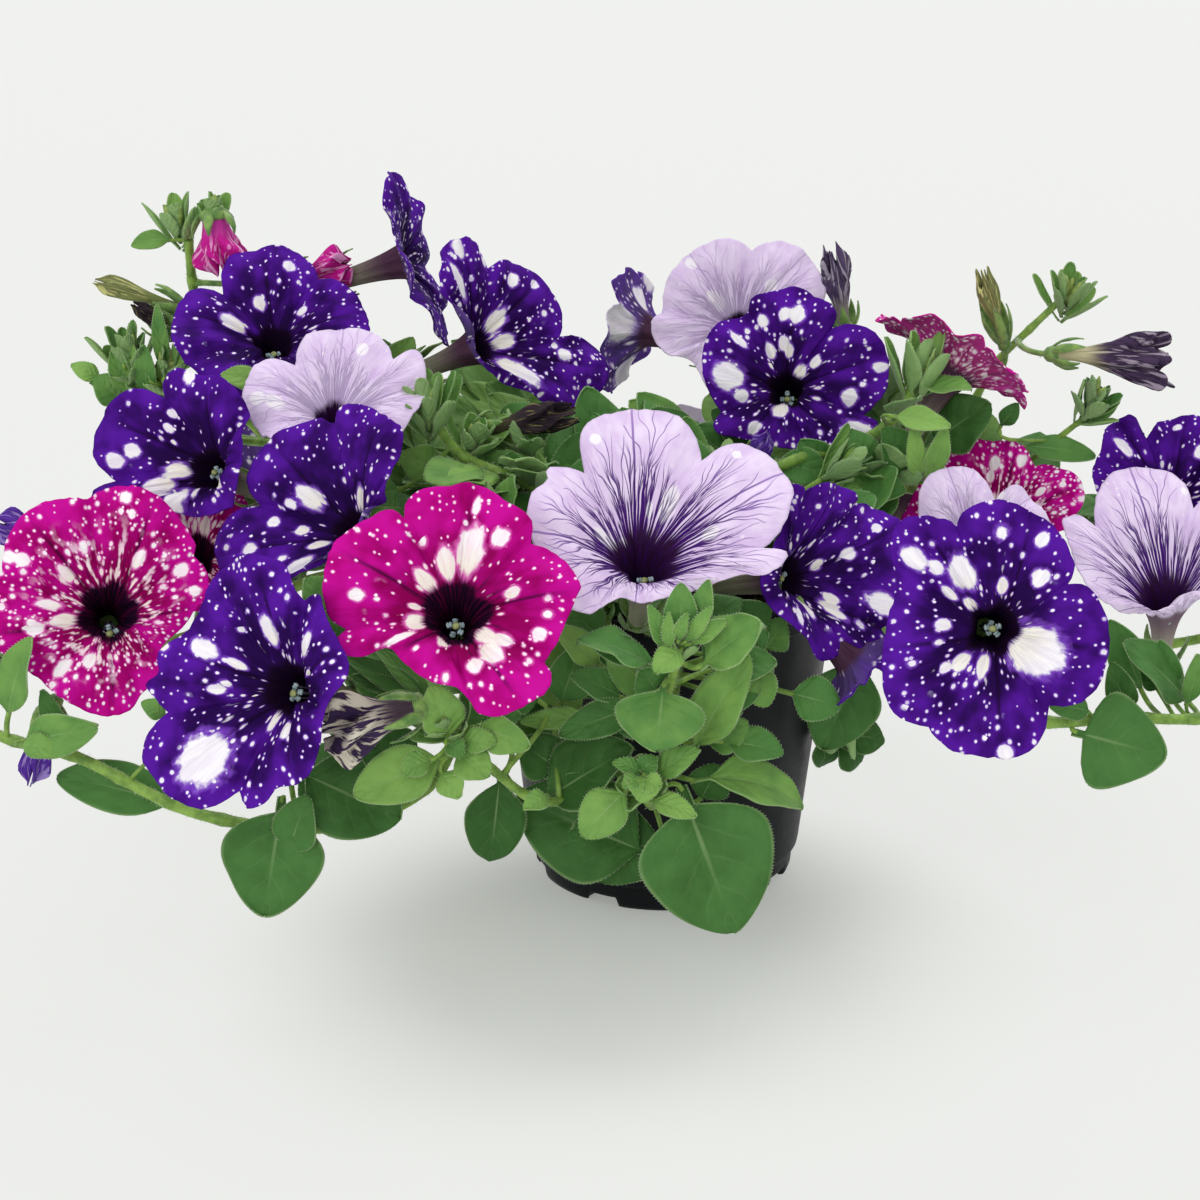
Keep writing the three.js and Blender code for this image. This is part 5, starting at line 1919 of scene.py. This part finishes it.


# A leaf's shade darkens its green: partly its own tone, partly painted shade where it lies in shadow.
BIG_LEAVES = [
    BigLeaf("leaf_front_big", (2, -92, 64), (17, -101, 24), (0.1, -0.9, 0.35), 38, 2, 0.72, 0.62),
    BigLeaf("leaf_front_dark_left", (-4, -82, 38), (-43, -79, 55), (-0.1, -0.93, 0.35), 30, 3, 0.85, 0.72),
    BigLeaf("leaf_front_right", (5, -88, 64), (36, -84, 54), (0.1, -0.4, 0.9), 17, 6, 0.2),
    BigLeaf("leaf_front_round", (-3, -98, 96), (-5, -108, 81), (0, -0.75, 0.65), 24, 3, 0.35),
    BigLeaf("leaf_middle_left", (-8, -80, 74), (-38, -78, 62), (-0.2, -0.5, 0.8), 20, 5, 0.7),
    BigLeaf("leaf_heart_left", (-106, -95, 62), (-112, -98, 28), (0.05, -0.95, 0.3), 28, 2, 0.7, 0.64),
    BigLeaf("leaf_heart_right", (114, -60, 67), (140, -64, 61), (-0.1, -0.93, 0.35), 28, 2, 0.58, 0.5),
    BigLeaf("leaf_right_behind", (58, -28, 80), (46, -32, 50), (0.1, -0.85, 0.4), 22, 2, 0.7),
    BigLeaf("leaf_shoot_left", (-4, -103, 102), (-25, -106, 112), (0.3, -0.3, 0.9), 13, 2, 0.5),
    BigLeaf("leaf_shoot_right", (6, -102, 102), (22, -106, 116), (-0.4, -0.6, 0.65), 16, 2, 0.3),
    BigLeaf("leaf_left_back", (-78, -78, 50), (-101, -70, 66), (0.3, -0.7, 0.6), 20, 3, 0.6),
    BigLeaf("leaf_rear_left", (-68, 98, 80), (-62, 112, 46), (0, 0.9, 0.4), 30, 3, 0.6),
    BigLeaf("leaf_rear_right", (30, 110, 68), (22, 122, 34), (-0.1, 0.9, 0.35), 32, 3, 0.5),
    BigLeaf("leaf_rear_middle", (10, 60, 98), (-14, 84, 76), (-0.3, 0.6, 0.7), 24, 5, 0.6),
]


@dataclass(frozen=True)
class PhotoLeaf:
    """A smaller leaf whose base and tip were read off the photograph."""

    base: Pixel
    tip: Pixel
    depth: float
    tip_depth: float
    width: float
    shade: float
    face: Point = (0.0, -0.85, 0.55)
    arch: float = 2.5

    def grow(self, bm: bmesh.types.BMesh, chance: random.Random) -> None:
        """Adds the leaf and its stalk to a mesh."""
        base, tip = CAMERA.at_depth(self.base, self.depth), CAMERA.at_depth(self.tip, self.tip_depth)
        face = Vector(self.face) + Vector([chance.uniform(-0.2, 0.2) for _ in range(3)])
        Blade(base, tip, face.normalized(), self.width, arch=self.arch, stalk=0.06,
              cup=chance.uniform(0.05, 0.3), wave=self.width * 0.06, shade=self.shade, hairs=1.3,
              twist=chance.uniform(-0.5, 0.5), seed=chance.uniform(0, 50), columns=10, rows=18).grow(bm)
        petiole(bm, base, tip, min(0.8, 0.35 + self.width * 0.04))


# The smaller leaves row by row: the pixels of a leaf's base and tip, their depths, its width and its shade; a
# high shade is partly the leaf's darker green and partly painted shadow.
PHOTO_LEAVES = {
    "leaves_front_tip": (
        ((640, 658), (588, 640), -98, -101, 8, 0.85), ((676, 645), (682, 583), -102, -99, 9, 0.35),
        ((694, 643), (709, 580), -101, -98, 7, 0.3), ((665, 650), (649, 605), -104, -104, 5, 0.25),
        ((670, 648), (669, 611), -106, -106, 3.5, 0.2), ((690, 645), (727, 620), -105, -105, 5, 0.2),
        ((686, 642), (712, 606), -106, -106, 4, 0.2), ((682, 650), (654, 673), -104, -109, 8, 0.1),
        ((678, 640), (688, 612), -107, -108, 3.5, 0.25), ((560, 705), (585, 640), -80, -82, 13, 0.5),
        ((600, 665), (553, 626), -84, -86, 9, 0.1), ((650, 690), (608, 655), -86, -88, 12, 0.3),
        ((622, 698), (570, 676), -90, -92, 10, 0.5), ((642, 705), (559, 735), -94, -97, 10, 0.75),
        ((592, 715), (520, 722), -84, -86, 6, 0.2), ((700, 742), (724, 664), -85, -88, 10, 0.3),
        ((694, 750), (749, 656), -88, -94, 14, 0.2), ((722, 668), (776, 663), -86, -88, 11, 0.5),
        ((765, 650), (784, 618), -60, -62, 10, 0.35), ((748, 668), (768, 707), -80, -84, 10, 0.25),
        ((655, 690), (640, 670), -92, -94, 12, 0.5), ((700, 700), (760, 690), -82, -84, 12, 0.6),
        ((600, 640), (566, 606), -72, -74, 12, 0.45), ((735, 650), (768, 632), -74, -76, 10, 0.6),
        ((700, 660), (752, 640), -76, -80, 14, 0.4), ((690, 720), (742, 712), -78, -82, 15, 0.6),
        ((706, 740), (748, 722), -80, -84, 12, 0.35), ((720, 640), (770, 606), -60, -62, 14, 0.55),
        ((690, 640), (742, 600), -64, -66, 15, 0.7), ((740, 690), (772, 668), -76, -78, 10, 0.3),
        ((610, 700), (580, 640), -76, -78, 15, 0.6), ((650, 720), (610, 715), -88, -90, 12, 0.7),
    ),
    "leaves_front_foot": (
        ((628, 789), (582, 837), -100, -105, 13, 0.2), ((645, 775), (641, 803), -103, -108, 9, 0.1),
        ((642, 774), (612, 762), -101, -102, 5, 0.3), ((640, 772), (656, 756), -101, -100, 6, 0.4),
        ((640, 778), (622, 788), -104, -106, 5, 0.2), ((644, 778), (662, 788), -104, -106, 6, 0.1),
        ((650, 800), (696, 817), -102, -106, 7, 0.05), ((655, 776), (699, 749), -98, -101, 8, 0.3),
        ((660, 772), (690, 756), -97, -99, 7, 0.5), ((725, 742), (784, 753), -84, -87, 11, 0.45),
        ((548, 796), (523, 809), -101, -105, 6, 0.2), ((545, 800), (632, 748), -88, -93, 21, 0.9),
        ((635, 800), (598, 882), -77, -79, 27, 0.9), ((790, 693), (841, 707), -72, -75, 13, 0.5),
        ((700, 800), (720, 765), -84, -82, 12, 0.7), ((600, 790), (590, 752), -86, -84, 12, 0.8),
    ),
    "leaves_front_left": (
        ((448, 738), (431, 685), -108, -112, 12, 0.15), ((476, 726), (530, 746), -106, -110, 10, 0.2),
        ((480, 724), (521, 716), -100, -100, 8, 0.6), ((444, 757), (354, 795), -108, -114, 15, 0.12),
        ((440, 772), (460, 797), -110, -113, 8, 0.1), ((456, 752), (489, 777), -108, -112, 11, 0.15),
        ((462, 740), (497, 741), -109, -111, 7, 0.25), ((446, 745), (463, 758), -113, -115, 6, 0.35),
        ((432, 760), (401, 773), -113, -115, 7, 0.25), ((500, 775), (489, 862), -90, -88, 17, 0.95),
        ((300, 772), (400, 820), -92, -95, 25, 0.85), ((402, 702), (338, 670), -90, -92, 11, 0.45),
        ((340, 745), (352, 698), -88, -88, 9, 0.5), ((420, 770), (360, 740), -92, -92, 16, 0.8),
        ((560, 770), (520, 740), -84, -84, 14, 0.85), ((540, 700), (512, 690), -84, -84, 11, 0.5),
        ((434, 704), (345, 656), -98, -98, 7, 0.5), ((434, 702), (374, 648), -97, -97, 6, 0.35),
        ((432, 706), (352, 676), -99, -99, 6, 0.6), ((356, 680), (322, 612), -86, -88, 13, 0.7),
        ((508, 742), (468, 704), -88, -88, 13, 0.6), ((338, 622), (306, 578), -78, -78, 13, 0.4),
        ((404, 692), (366, 640), -92, -92, 12, 0.45),
    ),
    "leaves_left": (
        ((8, 716), (30, 637), -92, -96, 11, 0.25), ((22, 742), (97, 728), -96, -99, 12, 0.3),
        ((60, 728), (42, 690), -90, -91, 6, 0.7), ((178, 806), (57, 777), -86, -84, 15, 0.55),
        ((166, 716), (141, 702), -90, -91, 6, 0.3), ((20, 745), (62, 752), -98, -100, 7, 0.2),
        ((290, 850), (308, 796), -95, -99, 13, 0.62), ((330, 815), (300, 780), -92, -92, 10, 0.6),
    ),
    "leaves_right": (
        ((1090, 712), (1050, 706), -58, -60, 7, 0.5), ((1188, 702), (1124, 642), -38, -46, 16, 0.7),
        ((1142, 692), (1110, 620), -36, -38, 12, 0.5), ((1128, 715), (1111, 662), -48, -51, 9, 0.85),
        ((1158, 690), (1142, 664), -38, -38, 8, 0.85), ((1186, 706), (1198, 654), -40, -40, 6, 0.3),
        ((1170, 690), (1160, 640), -36, -40, 9, 0.6), ((835, 745), (862, 762), -14, -12, 12, 0.9),
        ((845, 735), (884, 742), -14, -14, 11, 0.9), ((820, 735), (824, 766), -14, -12, 9, 0.95),
    ),
    "leaves_upper_right": (
        ((1022, 446), (1095, 457), 60, 55, 9, 0.4), ((932, 445), (990, 404), 50, 44, 20, 0.8),
        ((1000, 426), (1018, 403), 50, 50, 6, 0.8), ((908, 475), (884, 428), 20, 18, 14, 0.75),
        ((918, 482), (913, 425), 14, 12, 6, 0.1), ((926, 482), (946, 424), 14, 12, 7, 0.15),
        ((893, 416), (950, 427), 12, 8, 8, 0.05), ((868, 470), (850, 430), 20, 20, 12, 0.6),
        ((842, 480), (905, 492), 16, 12, 13, 0.45), ((820, 470), (800, 440), 24, 22, 12, 0.7),
        ((870, 480), (835, 500), 16, 10, 12, 0.3), ((775, 462), (830, 480), 22, 18, 12, 0.6),
        ((700, 450), (645, 422), 60, 56, 13, 0.85), ((740, 450), (706, 424), 60, 56, 12, 0.9),
        ((640, 440), (690, 418), 54, 50, 13, 0.8), ((660, 440), (662, 412), 60, 58, 11, 0.9),
        ((760, 450), (712, 410), 56, 52, 13, 0.85), ((730, 460), (690, 432), 50, 44, 16, 0.6),
    ),
    "leaves_upper_left": (
        ((172, 364), (207, 344), 30, 28, 10, 0.2), ((165, 372), (157, 305), 30, 30, 5, 0.3),
        ((102, 380), (71, 365), 30, 30, 6, 0.1), ((122, 402), (94, 377), 28, 26, 11, 0.35),
        ((264, 388), (221, 375), 12, 8, 8, 0.05), ((396, 368), (413, 337), 50, 48, 9, 0.2),
        ((392, 366), (382, 339), 50, 50, 6, 0.3), ((172, 240), (131, 246), 58, 56, 6, 0.25),
        ((130, 395), (112, 350), 28, 28, 7, 0.3), ((140, 395), (130, 340), 28, 28, 6, 0.2),
        ((148, 395), (144, 345), 26, 26, 7, 0.4), ((500, 440), (540, 408), 30, 28, 14, 0.7),
        ((520, 450), (585, 425), 40, 38, 15, 0.85), ((585, 450), (625, 428), 46, 44, 13, 0.8),
        ((500, 470), (470, 440), 14, 10, 12, 0.4), ((480, 480), (530, 462), 10, 6, 13, 0.35),
        ((520, 492), (512, 452), 6, 2, 14, 0.8), ((440, 470), (400, 455), 4, 2, 12, 0.2),
        ((470, 490), (425, 478), 2, -2, 12, 0.5), ((400, 490), (368, 500), 0, -4, 12, 0.35),
    ),
}


def build_leaves(name: str, rows: tuple[tuple, ...], seed: int) -> None:
    """Makes one piece of the leaves of a part of the plant.

    Args:
        name: The name of the piece.
        rows: What is given for each of its leaves.
        seed: The seed of their small differences.
    """
    chance = random.Random(seed)
    bm = leafy()
    for row in rows:
        PhotoLeaf(*row).grow(bm, chance)
    MAKER.piece(bm, name, "leaf_green", dress(*LEAF_SET))


FIRST_LEAF_SEED, FIRST_FOLIAGE_SEED = 60, 100
BARE_STEMS = ("stem_front", *SHOOTS)
SHOOT_RADII = [1.4, 1.3, 1.3, 1.2, 1.2, 1.1, 1.1, 1.0, 1.0, 0.9, 0.8]
# How far along some stems the smaller leaves go, as the photograph shows them.
LEAFY_SHARES = {
    "stem_left_trailing": 0.36, "stem_right_front": 0.26, "stem_right": 0.5, "stem_back_left": 0.6,
    "stem_left": 0.55, "shoot_left_upper": 0.0, "shoot_left_upper_side": 0.0, "shoot_right_side": 0.0,
    "shoot_right_low": 0.0,
}


@dataclass
class Foliage:
    """The many smaller leaves of one stem, which alternate along it and keep clear of the open flowers."""

    stem: str
    seed: int
    size: float = 30.0
    step: float = 4.6
    first: int = 4
    tries: int = 8
    hairs: float = 0.8
    rim_margin: float = 1.12
    view_margin: float = 1.05
    petal_gap: float = 6.0
    tube_gap: float = 7.0
    lowest: float = 6.0

    def clear(self, blade: Blade) -> bool:
        """Tells whether a leaf stays off the flowers, both in space and as the photograph sees them."""
        spots = [blade.point(x, y) for x in (-0.9, 0, 0.9) for y in (0.35, 0.7, 1.0)]
        eye = Vector(CAMERA.place)
        for flower in FLOWERS:
            for spot in spots:
                local = spot - flower.centre
                height = local.dot(flower.axis)
                far = (local - flower.axis * height).length
                bowl = flower.rise * min(1, far / flower.radius)
                if far < flower.radius * self.rim_margin and abs(height - bowl) < self.petal_gap:
                    return False
                if far < self.tube_gap and -flower.tube_length < height < 10:
                    return False
                sight = (flower.centre - eye).normalized()
                beside = (spot - eye) - sight * (spot - eye).dot(sight)
                nearer = (spot - eye).dot(sight) < (flower.centre - eye).dot(sight) + 4
                if nearer and beside.length < flower.radius * self.view_margin and flower.axis.y < 0:
                    return False
        return spots[-1].z > self.lowest

    def build(self) -> None:
        """Makes the leaves of the stem as one piece."""
        chance = random.Random(self.seed)
        line = STEM_LINES[self.stem]
        bm = leafy()
        lengths = np.cumsum([0.0] + [(b - a).length for a, b in zip(line, line[1:])])
        grown = 0
        way = (line[-1] - line[-3]).normalized()
        last = (lengths[-1] - 3) * LEAFY_SHARES.get(self.stem, 1.0)
        for place in np.arange(lengths[self.first], last, self.step):
            at = int(np.searchsorted(lengths, place))
            at = min(len(line) - 2, max(1, at))
            way = (line[at + 1] - line[at - 1]).normalized()
            for _ in range(self.tries):
                around = Quaternion(way, chance.uniform(0, math.tau)) @ way.orthogonal().normalized()
                if around.z < -0.3:
                    continue
                out = (around + way * chance.uniform(0.2, 0.8) + UP * 0.1).normalized()
                near_tip = smooth(at / (len(line) - 1), 0.75, 1.0)
                size = self.size * chance.uniform(0.7, 1.2) * (1 - 0.45 * near_tip)
                base = line[at] + around * 1.2
                tip = base + out * size + UP * (-0.15 * size * chance.random())
                face = UP * 1.0 - out * 0.5 + Vector((0, -0.35, 0)) + around * chance.uniform(-0.2, 0.2)
                blade = Blade(base, tip, face.normalized(), size * chance.uniform(0.5, 0.68),
                              arch=size * 0.05, cup=chance.uniform(0.05, 0.3), wave=0.9, hairs=self.hairs,
                              twist=chance.uniform(-0.5, 0.5),
                              shade=chance.uniform(0.05, 0.65) * (1 - 0.4 * near_tip),
                              seed=chance.uniform(0, 50))
                if self.clear(blade):
                    blade.grow(bm)
                    grown += 1
                    break
        if self.stem in SIDE_SHOOTS:
            sweep(bm, line[::6], SHOOT_RADII, 8, STALK)
            add_tuft(bm, chance, line[-1], way, 7, self.size * 0.55, 5.0, 0.25)
            grown += 1
        if grown:
            MAKER.piece(bm, f"foliage_of_{self.stem}", "leaf_green", dress(*LEAF_SET))
        else:
            bm.free()


def add_tuft(bm: bmesh.types.BMesh, chance: random.Random, root: Vector, way: Vector, leaves: int,
             length: float, width: float, shade: float, spread: float = 0.62) -> None:
    """Adds a growing tip: narrow blunt leaves that stand up round small buds.

    Args:
        bm: The mesh that it is added to.
        chance: The source of its small differences.
        root: The end of the shoot.
        way: The direction in which the shoot ends.
        leaves: How many leaves it has.
        length: The length of the outer leaves.
        width: The width of the leaves.
        shade: How dark they are, 0 to 1.
        spread: How far the outer leaves lean out.
    """
    for i in range(leaves):
        share = i / leaves
        around = Quaternion(way, 2.4 * i + chance.uniform(-0.3, 0.3)) @ way.orthogonal().normalized()
        out = (way + around * (spread * (1.15 - share))).normalized()
        size = length * (1.05 - 0.4 * share) * chance.uniform(0.8, 1.15)
        base = root - way * (7 * (1 - share)) + around * 0.4
        Blade(base, base + out * size, (way - around * 0.8).normalized(), width * chance.uniform(0.8, 1.25),
              arch=-size * 0.03, stalk=0.1, cup=0.4, wave=0.3, shade=shade * chance.uniform(0.6, 1.5),
              hairs=1.4, fullness=1.1, blunt=0.42, twist=chance.uniform(-0.6, 0.6),
              seed=chance.uniform(0, 40), columns=6, rows=14).grow(bm)
    for i in range(3):
        around = Quaternion(way, 2.1 * i + 0.7) @ way.orthogonal().normalized()
        tip = root + (way + around * 0.35).normalized() * length * chance.uniform(0.4, 0.6)
        path = bezier(root, root.lerp(tip, 0.3), root.lerp(tip, 0.7), tip, 6)
        sweep(bm, path, [0.5, 0.8, 1.1, 1.2, 0.9, 0.2], 8, STALK)


@dataclass
class Tuft:
    """The growing tip at the end of a stem, as one piece."""

    name: str
    place: Point
    way: Point
    leaves: int = 9
    length: float = 15.0
    width: float = 5.0
    seed: int = 1
    shade: float = 0.25
    spread: float = 0.62

    def build(self) -> None:
        """Makes the tuft."""
        bm = leafy()
        add_tuft(bm, random.Random(self.seed), Vector(self.place), Vector(self.way).normalized(), self.leaves,
                 self.length, self.width, self.shade, self.spread)
        MAKER.piece(bm, self.name, "leaf_green", dress(*LEAF_SET[:STALK], BUD_GREEN))


TUFTS = [
    Tuft("tuft_upper_left", (-152, 60, 187), (-0.1, -0.15, 1.0), 8, 17, 5, 3),
    Tuft("tuft_upper_left_side", (-140, 56, 195), (0.1, -0.2, 1.0), 7, 10, 4, 23),
    Tuft("tuft_left_upper", (-164, 31, 152), (-0.1, -0.2, 1.0), 11, 19, 5, 4),
    Tuft("tuft_left_upper_side", (-153, 29, 148), (0.2, -0.2, 1.0), 7, 15, 5, 24),
    Tuft("tuft_middle", (-71, 0, 142), (-0.1, -0.1, 1.0), 13, 20, 5, 5, 0.2, 0.8),
    Tuft("tuft_middle_side", (-58, 4, 134), (0.3, -0.3, 1.0), 9, 16, 5, 25, 0.25, 0.8),
    Tuft("tuft_right_top", (77, 30, 144), (0.1, -0.1, 1.0), 8, 23, 8, 6, 0.15, 0.5),
    Tuft("tuft_upper_right", (131, 78, 160), (0.2, -0.2, 1.0), 12, 18, 5, 7, 0.25, 0.9),
    Tuft("tuft_right_side", (136, 50, 134), (0.2, -0.2, 1.0), 7, 15, 5, 26, 0.5, 0.8),
    Tuft("tuft_front_shoot", (1, -101, 108), (0.1, -0.4, 0.9), 9, 11, 4, 8),
    Tuft("tuft_left_end", (-192, -38, 84), (-0.7, -0.3, 0.6), 9, 15, 6, 9),
    Tuft("tuft_left_trailing", (-196, -85, 86), (-0.4, -0.4, 0.8), 7, 15, 7, 10),
    Tuft("tuft_right_end", (198, 20, 79), (0.7, -0.2, 0.6), 8, 14, 6, 11),
    Tuft("tuft_right_front", (196, -38, 81), (0.7, -0.3, 0.6), 8, 14, 6, 12),
    Tuft("tuft_front", (-9, -97, 67), (-0.3, -0.8, 0.5), 9, 13, 6, 13, 0.2, 0.9),
    Tuft("tuft_front_left", (-60, -107, 88), (-0.4, -0.6, 0.7), 9, 13, 5, 14, 0.2, 0.9),
]


# ---- Studio --------------------------------------------------------------------------------------


@dataclass
class Studio:
    """A pale seamless floor and soft light, mostly from the upper left."""

    floor_size: float = 60.0
    floor_lit: Colour = (0.08, 0.08, 0.08)
    floor_shaded: Colour = (0.53, 0.54, 0.52)
    glow: Colour = (0.742, 0.752, 0.728)
    glow_inside: Colour = (0.24, 0.25, 0.235)
    glow_middle: Point = (-10.0, -70.0, 0.0)
    glow_near: float = 50.0
    glow_far: float = 130.0
    sky: Colour = (1.0, 1.0, 0.99)
    sky_strength: float = 0.8
    sun_strength: float = 1.0
    sun_spread: float = 38.0
    sun_way: Point = (-0.2, -0.5, -1.0)
    fill_place: Point = (-0.9, -2.4, 1.3)
    fill_aim: Point = (0.0, 0.0, 0.1)
    fill_size: float = 1.6
    fill_power: float = 26.0

    def floor_finish(self) -> bpy.types.Material:
        """Makes the floor's pale paper, with a soft shadow near the pot and bright further off."""
        shader = Shader("floor_paper", roughness=0.8, specular_ior_level=0.2, emission_strength=1.0)
        at = shader.place()
        x, y = (shader.node("ShaderNodeSeparateXYZ", {}, {0: at}, i) for i in range(2))
        x, y = x - self.glow_middle[0] * MM, y - self.glow_middle[1] * MM
        far = shader.ramp((x * x + y * y) ** 0.5, self.glow_near * MM, self.glow_far * MM)
        shader.feed("Base Color", shader.blend(far, self.floor_shaded, self.floor_lit))
        shader.feed("Emission Color", shader.blend(far, self.glow_inside, self.glow))
        shader.bump(shader.noise(at, 400.0, 3.0), 0.02)
        return shader.material

    def build(self) -> None:
        """Makes the floor, the lights and the sky."""
        bm = bmesh.new()
        bmesh.ops.create_grid(bm, x_segments=8, y_segments=8, size=self.floor_size / 2)
        mesh = bpy.data.meshes.new("floor")
        bm.to_mesh(mesh)
        bm.free()
        floor = bpy.data.objects.new("floor", mesh)
        floor.data.materials.append(self.floor_finish())
        bpy.context.scene.collection.objects.link(floor)
        world = bpy.data.worlds.new("studio_sky")
        bpy.context.scene.world = world
        world.use_nodes = True
        world.node_tree.nodes["Background"].inputs["Color"].default_value = (*self.sky, 1.0)
        world.node_tree.nodes["Background"].inputs["Strength"].default_value = self.sky_strength
        self.add_fill_light()
        data = bpy.data.lights.new("window_light", "SUN")
        data.energy = self.sun_strength
        data.angle = math.radians(self.sun_spread)
        sun = bpy.data.objects.new("window_light", data)
        sun.rotation_euler = Vector(self.sun_way).to_track_quat("-Z", "Y").to_euler()
        bpy.context.scene.collection.objects.link(sun)
        bpy.context.scene.view_settings.view_transform = "Standard"

    def add_fill_light(self) -> None:
        """Makes the square soft light in front of the plant."""
        data = bpy.data.lights.new("fill_light", "AREA")
        data.size = self.fill_size
        data.energy = self.fill_power
        lamp = bpy.data.objects.new("fill_light", data)
        lamp.location = self.fill_place
        way = Vector(self.fill_aim) - Vector(self.fill_place)
        lamp.rotation_euler = way.to_track_quat("-Z", "Y").to_euler()
        bpy.context.scene.collection.objects.link(lamp)


def main() -> None:
    """Builds the scene piece by piece."""
    logging.basicConfig(level=logging.INFO, format="%(message)s")
    CAMERA.build()
    Studio().build()
    Pot().build()
    Soil().build()
    for name in STEMS:
        Stem(name).build()
    for flower in FLOWERS:
        flower.build()
    for closed in CLOSED_FLOWERS:
        closed.build()
    for leaf in BIG_LEAVES:
        leaf.build()
    for seed, (name, rows) in enumerate(PHOTO_LEAVES.items(), FIRST_LEAF_SEED):
        build_leaves(name, rows, seed)
    for seed, name in enumerate(STEMS | SIDE_SHOOTS, FIRST_FOLIAGE_SEED):
        if name not in BARE_STEMS:
            Foliage(name, seed).build()
    for tuft in TUFTS:
        tuft.build()
    LOG.info("%d pieces", MAKER.count)


if __name__ == "__main__":
    main()
